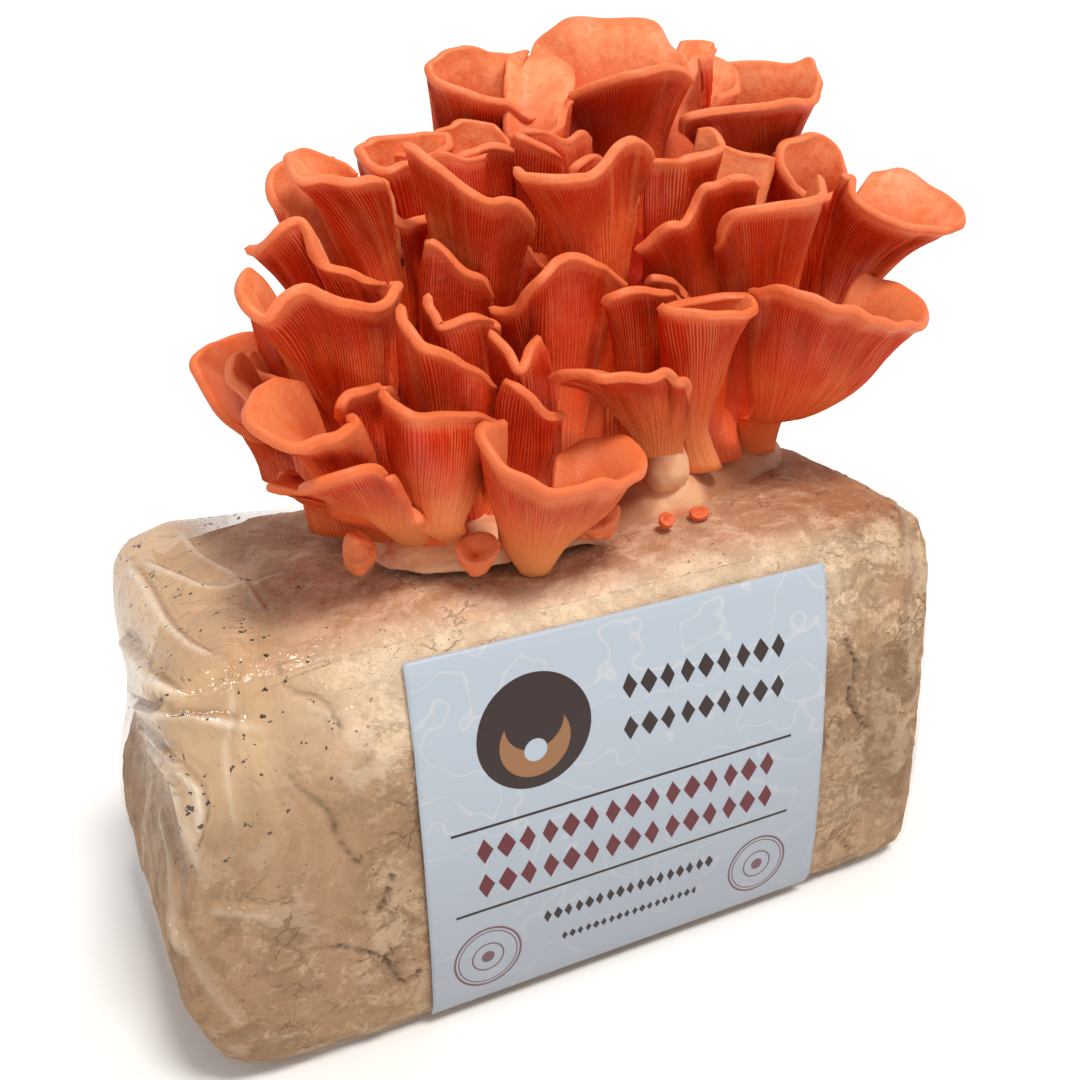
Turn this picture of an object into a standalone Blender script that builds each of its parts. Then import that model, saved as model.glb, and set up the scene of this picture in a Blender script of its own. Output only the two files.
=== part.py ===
"""Oyster mushroom grow kit: a bunch of mushrooms on a bagged sawdust block.

Standalone Blender 4.5 script. Sizes below are in millimetres and are turned into metres when a mesh
is made. X runs along the block, the label is on the -Y side, +Z is up, and the origin is at the
middle of the flat underside.
"""

import math
from typing import NamedTuple

import bmesh
import bpy
import numpy as np
from mathutils import Vector
from mathutils.bvhtree import BVHTree

MM = 0.001

# The block and its film
BLOCK_HALF_LENGTH = 113.0
BLOCK_HALF_DEPTH = 54.0
BLOCK_TOP = 126.0

# Where the lines of the coarse cage run, as shares of the half length, the half depth and the height
LINES_ALONG = (-1.0, -0.88, -0.4, 0.5, 0.9, 1.0)
LINES_ACROSS = (-1.0, -0.74, 0.74, 1.0)
LINES_UP = (0.0, 0.1, 0.84, 1.0)

# The right end bulges, the left end is tucked in at the bottom, and the film stands up at the back left
RIGHT_END_BULGE = (6.0, 14.0)
LEFT_END_TUCK = 13.0
LOOSE_CORNER_RISE = 9.0
LOOSE_CORNER_REACH = 8.0

# The front leans back towards the top and is tucked in a little at the bottom, in shares of the half depth
FRONT_AT_LINES_UP = (0.93, 1.0, 0.97, 0.83)
FILM_THICKNESS = 0.6
FILM_GAP = 0.4
SLIT_HALF_LENGTH = 68.0
SLIT_HALF_WIDTH = 7.0

# The slit runs a little askew across the top, from its middle point
SLIT_MIDDLE = (30.0, 3.0)
SLIT_SLOPE = 0.2

# The knot of grown-together stems that comes out of the slit
KNOT_HALF_LENGTH = 78.0
KNOT_HALF_DEPTH = 31.0
KNOT_SHIFT = 6.0
KNOT_RISE = 11.0
KNOT_GAP = 0.9
KNOT_COLUMNS = 20

# The label
LABEL_SIDE = 127.0
LABEL_MIDDLE_X = 12.0
LABEL_TOP_Z = 117.0
LABEL_BOTTOM_Z = 4.0
LABEL_THICKNESS = 0.4
LABEL_GAP = 0.5

# The mushrooms
STEM_RADIUS = 1.8
CAP_HALF_THICKNESS = 1.3
DEEPEST_DROP = 0.7
LOWEST_THROAT = 148.0
THROAT_HALF_WIDTH = 7.0

# The direction in plan that runs across the bunch as it is looked at
ACROSS = np.array([0.89, -0.45, 0.0])
KNOT_CREST = 137.0
PIECE_GAP = 0.5
ROOT_GAP = 1.0

# The most that two points of a cap may be pushed back unequally, as a share of their distance
PUSH_SLOPE = 0.7

# The part of a cap round its throat that its own stem may run through
THROAT_REACH = 9.0

# How far a stem's root and its bend may be shifted to lead the stem between the others
STEM_SHIFTS = np.arange(-32.0, 33.0, 4.0)
ROOT_SHARE = 0.84
STEM_BENDS = np.arange(-24.0, 25.0, 6.0)

# The bunch is looked at from here when it is decided which cap lies in front of which
FACING_POINT = np.array([-138.0, -313.0, 271.0])
CROWD_CELL = 0.004
CROWD_AZIMUTH = (-0.3, 1.4)
CROWD_ELEVATION = (-0.8, 0.4)


class Cap(NamedTuple):
    """One mushroom: where its stem starts, where its cap starts, and points along its rim."""

    foot: tuple
    throat: tuple
    rim: tuple
    closed: bool = False
    spread: float = 1.0
    rise: float = 1.15
    columns: int = 7
    rows: int = 3
    depth: float = 45.0


# The caps that face the front, nearest first. Every point is (x, y, z); a rim runs round its cap.
FRONT_CAPS = (
    # The low caps in front, over the edge of the knot
    Cap((-9, -31), (-9, -32, 136), (
        (-15, -29, 170), (-26, -40, 174), (-29, -46, 172), (-26, -52, 166), (-17, -56, 160),
        (-4, -55, 158),
        (13, -48, 155), (21, -40, 156), (21, -28, 159), (13, -22, 157), (3, -20, 154)),
        spread=0.9, rise=1.3, columns=10),
    Cap((-34, -18), (-46, -29, 148), (
        (-73, -36, 163), (-70, -41, 167), (-62, -44, 169), (-56, -42, 168), (-51, -38, 164),
        (-48, -32, 159))),
    Cap((-22, -25), (-36, -30, 145), (
        (-48, -26, 182), (-47, -33, 181), (-43, -38, 179), (-36, -40, 178), (-29, -40, 177),
        (-24, -37, 175),
        (-17, -30, 170))),
    Cap((-42, -10), (-58, -24, 155), (
        (-63, -13, 183), (-71, -20, 187), (-79, -30, 188), (-84, -40, 186), (-82, -46, 183),
        (-75, -48, 179),
        (-67, -44, 178), (-58, -36, 178), (-58, -30, 178)), columns=9),
    Cap((-34, -13), (-51, -20, 158), (
        (-60, -30, 177), (-60, -33, 182), (-58, -34, 185), (-53, -32, 185), (-48, -28, 184),
        (-44, -22, 181)),
        columns=6),
    Cap((-12, -14), (-1, -20, 162), (
        (-12, -22, 179), (-10, -27, 178), (-6, -32, 173), (2, -30, 168)), columns=4, rows=2),
    Cap((-24, -13), (-32, -16, 165), (
        (-39, -18, 201), (-40, -26, 198), (-38, -31, 194), (-34, -33, 192), (-23, -31, 185),
        (-18, -27, 181),
        (-15, -22, 177))),
    # The low left side, with its wide outer cap and the small ones between
    Cap((-42, -6), (-54, -12, 170), (
        (-68, 0, 208), (-73, -6, 211), (-77, -16, 210), (-78, -24, 206), (-75, -30, 204), (-71, -32, 208),
        (-66, -33, 211), (-62, -35, 210), (-57, -37, 207), (-51, -36, 205), (-44, -30, 206),
        (-39, -22, 207),
        (-39, -14, 206)), columns=10),
    Cap((-46, -9), (-58, -14, 151), (
        (-67, -12, 158), (-72, -16, 160), (-77, -22, 161), (-75, -26, 160), (-70, -26, 158)),
        columns=5, rows=2),
    Cap((-44, 0), (-66, -8, 170), (
        (-75, 2, 189), (-79, -4, 189), (-81, -12, 186), (-78, -20, 182)), columns=4, rows=2, depth=15),
    Cap((-36, 3), (-62, -2, 170), (
        (-67, 12, 185), (-71, 8, 187), (-75, 0, 187), (-74, -8, 186), (-69, -12, 184)),
        columns=5, rows=2, depth=15),
    # The middle, above the bare foot of the knot
    Cap((54, -4), (44, -8, 145), (
        (2, -18, 176), (3, -25, 178), (7, -31, 180), (11, -35, 179), (24, -36, 178), (30, -34, 177),
        (37, -30, 173), (45, -23, 167)), columns=8),
    Cap((62, 0), (56, -2, 148), (
        (36, -19, 191), (42, -27, 191), (49, -28, 190), (59, -26, 188), (69, -18, 188), (70, -12, 190),
        (60, -9, 190), (51, -11, 189)), closed=True, columns=8),
    Cap((-46, 6), (-66, -10, 157), (
        (-67, 16, 190), (-77, 6, 192), (-84, -6, 194), (-90, -18, 194), (-90, -26, 192), (-89, -33, 185),
        (-85, -36, 181), (-80, -38, 179), (-70, -34, 178)), columns=9, depth=20),
    Cap((0, -10), (-4, -12, 169), (
        (-13, -16, 191), (-11, -22, 187), (-9, -25, 182), (-4, -20, 186), (1, -14, 187)),
        columns=4, rows=2),
    Cap((-16, -4), (-19, -10, 179), (
        (-27, -10, 201), (-29, -17, 198), (-30, -23, 195), (-23, -25, 197), (-17, -22, 196),
        (-9, -14, 191)),
        columns=6),
    # The big cup on the right, and the caps between it and the middle
    Cap((96, 12), (90, 6, 144), (
        (71, -10, 190), (71, -18, 192), (75, -25, 193), (82, -30, 190), (91, -33, 187), (102, -33, 183),
        (114, -31, 179), (127, -25, 177), (136, -14, 179), (137, -3, 182), (134, 4, 184), (128, 9, 186)),
        spread=0.75, rise=1.2, columns=11, rows=4),
    Cap((46, 2), (42, 0, 163), (
        (24, -8, 192), (25, -13, 195), (29, -16, 197), (40, -16, 195), (46, -13, 192), (52, -7, 187)),
        columns=6),
    Cap((56, 8), (53, 4, 172), (
        (40, -4, 195), (41, -8, 197), (48, -8, 195), (54, -4, 190), (59, 1, 184)), columns=4, rows=2),
    Cap((6, -2), (17, -2, 172), (
        (-10, -8, 195), (-7, -13, 195), (-4, -16, 197), (3, -19, 206), (7, -20, 208), (13, -20, 208),
        (19, -18, 205), (31, -11, 197)), columns=9),
    Cap((-20, 4), (-18, 0, 186), (
        (-25, -2, 213), (-23, -7, 213), (-18, -14, 207), (-13, -14, 204), (-10, -11, 200),
        (-7, -6, 195))),
    Cap((84, 14), (91, 8, 180), (
        (68, 2, 202), (64, -5, 207), (64, -10, 212), (68, -14, 214), (76, -16, 215), (86, -15, 215),
        (96, -10, 216), (103, -2, 218), (106, 5, 219)), columns=9),
    Cap((104, 24), (122, 14, 180), (
        (113, 3, 219), (115, -1, 218), (109, -8, 215), (109, -14, 212), (115, -18, 208), (124, -20, 205),
        (137, -19, 203), (151, -11, 204), (157, 0, 207), (157, 12, 211), (152, 22, 215), (142, 24, 215)),
        columns=11),
    # The upper left side
    Cap((-28, -3), (-53, 0, 192), (
        (-70, 6, 214), (-68, 0, 215), (-64, -8, 221), (-60, -11, 222), (-59, -17, 216), (-57, -20, 213),
        (-52, -22, 211), (-48, -21, 209), (-43, -17, 207), (-40, -11, 203)), columns=10),
    Cap((68, 10), (65, 4, 186), (
        (37, -3, 205), (39, -8, 208), (43, -12, 211), (47, -13, 212), (50, -12, 215), (53, -13, 221),
        (57, -13, 222), (64, -11, 223), (73, -7, 222), (80, -1, 219)), columns=9),
    Cap((20, 4), (29, 4, 198), (
        (2, 0, 229), (2, -5, 227), (8, -11, 227), (15, -13, 227), (20, -12, 228), (28, -9, 233),
        (34, -7, 235), (39, -4, 234), (45, 1, 231), (48, 6, 228)), columns=9),
    Cap((40, 10), (59, 10, 203), (
        (45, 5, 228), (48, 1, 228), (54, -1, 228), (65, 0, 229), (70, 4, 231), (71, 10, 234),
        (68, 14, 234))),
    Cap((-8, 8), (-8, 4, 194), (
        (-28, 2, 237), (-26, -3, 236), (-21, -10, 232), (-14, -13, 225), (-10, -14, 223), (-6, -14, 223),
        (-1, -13, 221), (4, -9, 216), (4, -5, 211), (7, -3, 205), (11, -1, 202)), columns=10),
    Cap((-28, 10), (-43, 6, 200), (
        (-39, 4, 230), (-42, 8, 233), (-51, 11, 236), (-57, 5, 236), (-60, -2, 235), (-60, -9, 233),
        (-57, -13, 232), (-50, -16, 232), (-43, -17, 232), (-39, -15, 230), (-39, -14, 226),
        (-37, -15, 222),
        (-33, -14, 220), (-23, -6, 220)), columns=11),
    # The top
    Cap((92, 24), (115, 22, 176), (
        (94, 8, 222), (95, 2, 216), (108, 4, 212), (124, 14, 215), (129, 22, 219), (130, 28, 224),
        (123, 29, 228), (111, 24, 228), (99, 15, 226)), closed=True, columns=9),
    Cap((30, 14), (37, 16, 207), (
        (23, 8, 225), (24, 6, 228), (29, 6, 230), (33, 9, 229)), columns=4, rows=2),
    Cap((18, 16), (25, 18, 208), (
        (10, 16, 236), (12, 12, 235), (18, 8, 232), (20, 10, 228), (22, 14, 225)), columns=4, rows=2),
    Cap((6, 14), (4, 14, 210), (
        (-12, 10, 230), (-11, 5, 233), (-8, 2, 234), (-4, 0, 235), (1, -1, 234), (6, 0, 233),
        (11, 2, 230),
        (16, 6, 228), (19, 11, 225))),
    Cap((-18, 14), (-26, 14, 213), (
        (-37, 10, 236), (-38, 3, 234), (-34, -2, 232), (-29, 0, 233), (-22, 4, 233), (-14, 10, 234),
        (-8, 20, 237), (-13, 24, 237), (-21, 22, 237), (-29, 17, 237)), closed=True, columns=9),
    Cap((0, 26), (-1, 22, 214), (
        (-14, 12, 234), (-10, 6, 231), (-1, 8, 230), (9, 18, 232), (12, 28, 235), (11, 34, 237),
        (2, 32, 239),
        (-4, 26, 238), (-10, 22, 237)), closed=True, columns=9),
    Cap((80, 22), (90, 16, 211), (
        (59, 10, 234), (56, 3, 238), (60, -2, 240), (71, -6, 241), (84, -8, 242), (96, -4, 242),
        (104, 4, 245),
        (110, 14, 248), (113, 22, 251), (106, 26, 250), (93, 28, 251), (86, 30, 251)), columns=11),
    Cap((0, 18), (3, 26, 224), (
        (32, 52, 255), (23, 48, 255), (15, 42, 256), (7, 36, 258), (-2, 29, 258), (-10, 22, 256),
        (-15, 15, 254), (-16, 10, 252), (-12, 6, 250), (-7, 4, 248), (-1, 3, 246), (5, 4, 244),
        (13, 8, 240)),
        columns=12),
    Cap((26, 18), (55, 30, 220), (
        (22, 16, 245), (25, 11, 246), (34, 6, 249), (42, 6, 251), (60, 11, 251), (68, 18, 249),
        (74, 32, 253),
        (74, 40, 256), (72, 48, 262), (56, 52, 264), (45, 50, 264), (38, 47, 262), (29, 42, 258),
        (22, 30, 251)), closed=True, columns=12),
    Cap((46, 21), (79, 36, 225), (
        (83, 50, 256), (91, 50, 256), (94, 47, 255), (88, 40, 253), (80, 34, 252)), columns=4, rows=2),
)


class BackCap(NamedTuple):
    """A cap on the far side: its stem, the way it faces (degrees from +X), its reach and rim height."""

    foot: tuple
    throat: tuple
    facing: float
    reach: float
    top: float


BACK_CAPS = (
    BackCap((-20, 18), (-32, 36, 169), 125, 19, 201),
    BackCap((-2, 22), (-6, 42, 173), 100, 19, 208),
    BackCap((18, 26), (20, 44, 177), 90, 19, 205),
    BackCap((40, 30), (44, 46, 179), 85, 19, 213),
    BackCap((62, 33), (68, 46, 173), 75, 19, 203),
    BackCap((80, 34), (92, 44, 169), 60, 19, 195),
    BackCap((92, 31), (116, 38, 161), 40, 19, 183),
)


# Small round caps on the film: the place in plan, then the three half sizes
BUDS = (
    ((-54, -20), (5.0, 5.0, 6.0)),
    ((-26, -33), (6.0, 5.0, 6.0)),
    ((12, -29), (8.0, 5.0, 6.0)),
    ((38, -24), (4.0, 3.5, 3.5)),
    ((50, -22), (4.5, 3.5, 2.5)),
)


def smooth_curve(points, closed, count):
    """Points evenly spaced along a Catmull-Rom curve through the given points."""
    given = np.array(points, float)
    if closed:
        guide = np.vstack([given[-1:], given, given[:2]])
    else:
        guide = np.vstack([2 * given[:1] - given[1:2], given, 2 * given[-1:] - given[-2:-1]])
    t = np.linspace(0, 1, 12, endpoint=False)[:, None]
    runs = []
    for a, b, c, d in zip(guide[:-3], guide[1:-2], guide[2:-1], guide[3:]):
        bend = 2 * a - 5 * b + 4 * c - d
        twist = 3 * b - a - 3 * c + d
        runs.append(b + 0.5 * ((c - a) * t + bend * t**2 + twist * t**3))
    curve = np.vstack(runs + [given[:1] if closed else given[-1:]])
    along = np.concatenate([[0.0], np.cumsum(np.linalg.norm(np.diff(curve, axis=0), axis=1))])
    stations = np.linspace(0, along[-1], count + 1)
    if closed:
        stations = stations[:-1]
    return np.stack([np.interp(stations, along, curve[:, k]) for k in range(3)], axis=1)


def turn_about(points, centre):
    """The bearings of points about a centre in plan, without jumps from one to the next."""
    return np.unwrap(np.arctan2(points[:, 1] - centre[1], points[:, 0] - centre[0]))


def unit(vectors):
    """The same vectors with length 1."""
    return vectors / np.maximum(np.linalg.norm(vectors, axis=-1, keepdims=True), 1e-9)


class Shell:
    """The two skins of one mushroom as grids of points: stem rows from the root up, then the cap's rows."""

    STEM_ROWS = 2

    def __init__(self, cap):
        self.closed = cap.closed
        self.foot = cap.foot
        rim = np.array(cap.rim, float)
        throat = np.array(cap.throat, float)
        root = np.array([*cap.foot, KNOT_CREST])
        if throat[2] > root[2] + 8:
            lowest = max(rim[:, 2].min() - cap.depth, LOWEST_THROAT)
            drop = (throat[2] - lowest) / (throat[2] - root[2])
            throat = throat + min(max(drop, 0.0), DEEPEST_DROP) * (root - throat)
        bearings = turn_about(np.vstack([rim, rim[:1]]) if cap.closed else rim, throat)
        if bearings[-1] < bearings[0]:
            rim = rim[::-1]
        rim = smooth_curve(rim, cap.closed, cap.columns)
        bearings = turn_about(rim, throat)
        if cap.closed:
            outer_turn = bearings[0] + np.linspace(0, 2 * math.pi, cap.columns, endpoint=False)
            inner_turn = outer_turn
        else:
            middle = (bearings[0] + bearings[-1]) / 2
            span = min(max(bearings[-1] - bearings[0], math.radians(150)), math.radians(290))
            steps = np.linspace(0, 1, len(rim))
            outer_turn = middle + span * (steps - 0.5)
            rest = 2 * math.pi - span - math.radians(30)
            inner_turn = middle + math.pi + rest * (0.5 - steps)
        self.outer_ring = np.stack([np.cos(outer_turn), np.sin(outer_turn), 0 * outer_turn], axis=1)
        self.inner_ring = np.stack([np.cos(inner_turn), np.sin(inner_turn), 0 * inner_turn], axis=1)
        self.skins = self.cap_skins(cap, throat, rim)
        self.first_inner = self.STEM_ROWS + 1 if cap.closed else 0

    def cap_skins(self, cap, throat, rim):
        """The flaring part, from the throat to the rim, as an array (skin, row, column)."""
        v = np.linspace(0, 1, cap.rows + 1)[:, None, None]
        reach = 0.88 * v**cap.spread + 0.12 * v**8
        climb = 1 - (1 - v) ** cap.rise
        start = throat + self.throat_ring(self.outer_ring)
        middle = start + (rim - start) * np.concatenate([reach, reach, climb], axis=2)
        if cap.closed:
            wide = np.concatenate([middle[:, -1:], middle, middle[:, :1]], axis=1)
            across = np.gradient(wide, axis=1)[:, 1:-1]
        else:
            across = np.gradient(middle, axis=1)
        outward = unit(np.cross(across, np.gradient(middle, axis=0)))
        settle = np.clip(v / 0.5, 0, 1)
        settle = settle * settle * (3 - 2 * settle)
        half = CAP_HALF_THICKNESS * (2 - v) * settle
        other_side = (1 - settle) * (self.throat_ring(self.inner_ring) - self.throat_ring(self.outer_ring))
        return np.stack([middle + outward * half, middle - outward * half + other_side])

    def throat_ring(self, ring):
        """A flattened ring, wide across the bunch and thin from front to back."""
        sideways = (ring @ ACROSS)[..., None] * ACROSS
        return STEM_RADIUS * (ring - sideways) + THROAT_HALF_WIDTH * sideways

    def push_back(self, push):
        """The cap's points with each row and column pushed back from the facing point."""
        return self.skins + unit(self.skins - FACING_POINT) * push[None, :, :, None]

    def throat_centre(self):
        """The middle of the ring where the stem meets the cap."""
        return self.skins[:, 0].mean(axis=(0, 1))

    def stem_skins(self, path, ground):
        """Rings round the lower points of the stem's path; the lowest ring lies on the ground below it."""
        rings = []
        for ring in (self.outer_ring, self.inner_ring):
            root = path[0] + 1.1 * STEM_RADIUS * ring
            root[:, 2] = [ground(x, y) for x, y in root[:, :2]]
            rings.append([root] + [centre + STEM_RADIUS * ring for centre in path[1:-1]])
        return np.array(rings)

    def all_points(self, path, ground):
        """Every point of the mushroom, with the middle points of its end discs as a third skin."""
        skins = np.concatenate([self.stem_skins(path, ground), self.skins], axis=1)
        middles = np.zeros_like(skins[:1])
        middles[0, 0, 0] = [path[0][0], path[0][1], ground(path[0][0], path[0][1])]
        middles[0, 0, 1] = skins[1, self.first_inner].mean(axis=0)
        return np.concatenate([skins, middles])

    def cap_faces(self):
        """The triangles of the cap alone, as triples of (skin, row, column)."""
        faces = self.faces()
        of_cap = (faces[..., 0] < 2) & (faces[..., 1] >= self.STEM_ROWS)
        faces = faces[of_cap.all(axis=1)]
        faces[..., 1] -= self.STEM_ROWS
        return faces

    def faces(self):
        """All triangles as triples of (skin, row, column); skin 2 holds the middles of the end discs."""
        rows = self.skins.shape[1] + self.STEM_ROWS
        columns = self.skins.shape[2]
        faces = []

        def quad(a, b, c, d):
            faces.append((a, b, d))
            faces.append((b, c, d))

        around = columns if self.closed else columns - 1
        for c in range(around):
            n = (c + 1) % columns
            for r in range(rows - 1):
                quad((0, r, c), (0, r, n), (0, r + 1, n), (0, r + 1, c))
                if r >= self.first_inner:
                    quad((1, r, n), (1, r, c), (1, r + 1, c), (1, r + 1, n))
            quad((0, rows - 1, c), (0, rows - 1, n), (1, rows - 1, n), (1, rows - 1, c))
        last = columns - 1
        if self.closed:
            loop = [(0, 0, c) for c in range(columns)]
            pit = [(1, self.first_inner, c) for c in range(columns)]
            for here, there in zip(pit, pit[1:] + pit[:1]):
                faces.append(((2, 0, 1), here, there))
        else:
            for r in range(rows - 1):
                quad((1, r, 0), (0, r, 0), (0, r + 1, 0), (1, r + 1, 0))
                quad((0, r, last), (1, r, last), (1, r + 1, last), (0, r + 1, last))
            loop = [(0, 0, c) for c in range(columns)] + [(1, 0, c) for c in range(last, -1, -1)]
        for here, there in zip(loop, loop[1:] + loop[:1]):
            faces.append(((2, 0, 0), there, here))
        return np.array(faces)


class Crowd:
    """What the caps laid so far take up, as the depth behind which there is room in each direction."""

    def __init__(self):
        shape = [int((high - low) / CROWD_CELL) for low, high in (CROWD_AZIMUTH, CROWD_ELEVATION)]
        self.depth = np.zeros(shape)
        self.room = np.zeros(shape)

    def locate(self, points):
        """The cell and the distance of each point, seen from the facing point."""
        offset = points - FACING_POINT
        distance = np.linalg.norm(offset, axis=-1)
        azimuth = np.arctan2(offset[..., 0], offset[..., 1])
        elevation = np.arcsin(offset[..., 2] / distance)
        column = ((azimuth - CROWD_AZIMUTH[0]) / CROWD_CELL).astype(int)
        row = ((elevation - CROWD_ELEVATION[0]) / CROWD_CELL).astype(int)
        return column, row, distance

    def shortfall(self, points):
        """How far each point is from being clear behind everything laid so far."""
        column, row, distance = self.locate(points)
        return self.room[column, row] + PIECE_GAP - distance

    def take(self, points):
        """Marks the room that these points take, with one cell more all round."""
        column, row, distance = self.locate(points)
        np.maximum.at(self.depth, (column.ravel(), row.ravel()), distance.ravel())
        wide = np.pad(self.depth, 1)
        high, long = self.depth.shape
        self.room = np.max([wide[i:i + high, j:j + long] for i in range(3) for j in range(3)], axis=0)


def fill_triangles(corners, steps=13):
    """Points spread over each triangle, closer together than a cell of the crowd."""
    weights = [(i / steps, j / steps) for i in range(steps + 1) for j in range(steps + 1 - i)]
    s, t = np.array(weights).T[:, None, :, None]
    return corners[:, 0, None] * (1 - s - t) + corners[:, 1, None] * s + corners[:, 2, None] * t


def ease(push, places):
    """Pushes in which two points of a cap differ by no more than a share of their distance."""
    spots = places.reshape(-1, 3)
    apart = np.linalg.norm(spots[:, None] - spots[None], axis=-1)
    push = (push.reshape(1, -1) - PUSH_SLOPE * apart).max(axis=1).reshape(push.shape)
    push[0] = push[0].max()
    return push


def lay_behind(shell, crowd):
    """Pushes a cap back until it is clear of those in front, and gives the points spread over it."""
    skin, row, column = np.moveaxis(shell.cap_faces(), 2, 0)
    push = np.zeros(shell.skins.shape[1:3])
    places = shell.skins.mean(axis=0)
    for _ in range(40):
        points = shell.push_back(push)
        short = crowd.shortfall(fill_triangles(points[skin, row, column])).max(axis=1)
        if short.max() <= 0:
            break
        need = np.zeros_like(push)
        np.maximum.at(need, (row, column), np.broadcast_to(short[:, None], skin.shape))
        push = ease(push + need, places)
    shell.skins = shell.push_back(push)
    spread = fill_triangles(shell.skins[skin, row, column])
    crowd.take(spread)
    return spread.reshape(-1, 3)


class Thicket:
    """Small cubes of space that count how many pieces come near them, to lead stems between the caps."""

    CUBE = 1.5
    ORIGIN = np.array([-130.0, -90.0, 96.0])
    SHAPE = (210, 140, 120)

    def __init__(self):
        self.load = np.zeros(int(np.prod(self.SHAPE)), dtype=int)

    def cubes_near(self, points, reach):
        """The cubes that lie within a reach of the points."""
        span = np.arange(-int(reach / self.CUBE) - 1, int(reach / self.CUBE) + 2)
        ball = np.stack(np.meshgrid(span, span, span), axis=-1).reshape(-1, 3)
        ball = ball[np.linalg.norm(ball, axis=1) * self.CUBE <= reach]
        base = np.unique(self.cells(points), axis=0)
        near = (base[:, None] + ball[None]).reshape(-1, 3)
        return np.unique(np.ravel_multi_index(near.T, self.SHAPE, mode="clip"))

    def cells(self, points):
        """The cube that each point is in."""
        return ((points - self.ORIGIN) / self.CUBE).astype(int)

    def strikes(self, paths):
        """How many points of each path lie near a piece."""
        flat = np.ravel_multi_index(np.moveaxis(self.cells(paths), -1, 0), self.SHAPE, mode="clip")
        return (self.load[flat] > 0).sum(axis=1)


def lead_stem(shell, thicket, ground):
    """The path of a stem up to its cap: of many tries, the clear one that is nearest to straight."""
    throat = shell.throat_centre()
    shifts = [(x, y) for x in STEM_SHIFTS for y in STEM_SHIFTS]
    roots = [(shell.foot[0] + x, shell.foot[1] + y) for x, y in shifts]
    roots = [root for root in roots if knot_share(*root) < ROOT_SHARE]
    if knot_share(*shell.foot) > 1.1:
        roots = [tuple(shell.foot)]
    bends = [(x, y, share) for x in STEM_BENDS for y in STEM_BENDS for share in (0.35, 0.6)]
    along = np.linspace(0, 1, 9)[:, None]
    tries, prices = [], []
    for root in roots:
        start = np.array([*root, ground(*root)])
        for bend_x, bend_y, share in bends:
            middle = start + share * (throat - start)
            middle[:2] += (bend_x, bend_y)
            tries.append((start, middle, throat))
            aside = abs(root[0] - shell.foot[0]) + abs(root[1] - shell.foot[1])
            prices.append(aside + 2 * (abs(bend_x) + abs(bend_y)))
    tries = np.array(tries)
    lower = tries[:, 0, None] + (tries[:, 1, None] - tries[:, 0, None]) * along
    upper = tries[:, 1, None] + (tries[:, 2, None] - tries[:, 1, None]) * along[1:-1]
    side = (THROAT_HALF_WIDTH - STEM_RADIUS) * ACROSS * along[1:-1]
    lines = np.concatenate([lower, upper, upper + side, upper - side], axis=1)
    prices = np.array(prices) + 1000 * thicket.strikes(lines)
    best = prices.argmin()
    return tries[best], lines[best]


def back_cap(spec):
    """A fan whose rim is an arc with a gentle ruffle."""
    rim = []
    for k in range(7):
        turn = math.radians(spec.facing + 28 * (k - 3))
        reach = spec.reach * (1 + 0.07 * math.cos(2.4 * k))
        rim.append((spec.throat[0] + reach * math.cos(turn), spec.throat[1] + reach * math.sin(turn),
                    spec.top + 3 * math.sin(1.9 * k)))
    return Cap(spec.foot, spec.throat, tuple(rim), columns=6, rows=2)


def material(name, colour, roughness):
    """A plain Principled material."""
    made = bpy.data.materials.new(name)
    made.use_nodes = True
    shader = made.node_tree.nodes["Principled BSDF"]
    shader.inputs["Base Color"].default_value = (*colour, 1.0)
    shader.inputs["Roughness"].default_value = roughness
    shader.inputs["Metallic"].default_value = 0.0
    made.diffuse_color = (*colour, 1.0)
    return made


def add_object(name, mesh, collection, finish=None):
    """Puts a mesh into a collection as one named object."""
    made = bpy.data.objects.new(name, mesh)
    collection.objects.link(made)
    if finish:
        mesh.materials.append(finish)
    return made


def mesh_from(name, points, faces):
    """A mesh in metres from points in millimetres, without the points that no face uses."""
    mesh = bpy.data.meshes.new(name)
    corners = [tuple(int(i) for i in face) for face in faces]
    mesh.from_pydata([tuple(p) for p in np.asarray(points) * MM], [], corners)
    form = bmesh.new()
    form.from_mesh(mesh)
    bmesh.ops.delete(form, geom=[v for v in form.verts if not v.link_faces], context="VERTS")
    bmesh.ops.remove_doubles(form, verts=form.verts, dist=1e-6)
    form.to_mesh(mesh)
    form.free()
    return mesh


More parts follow.
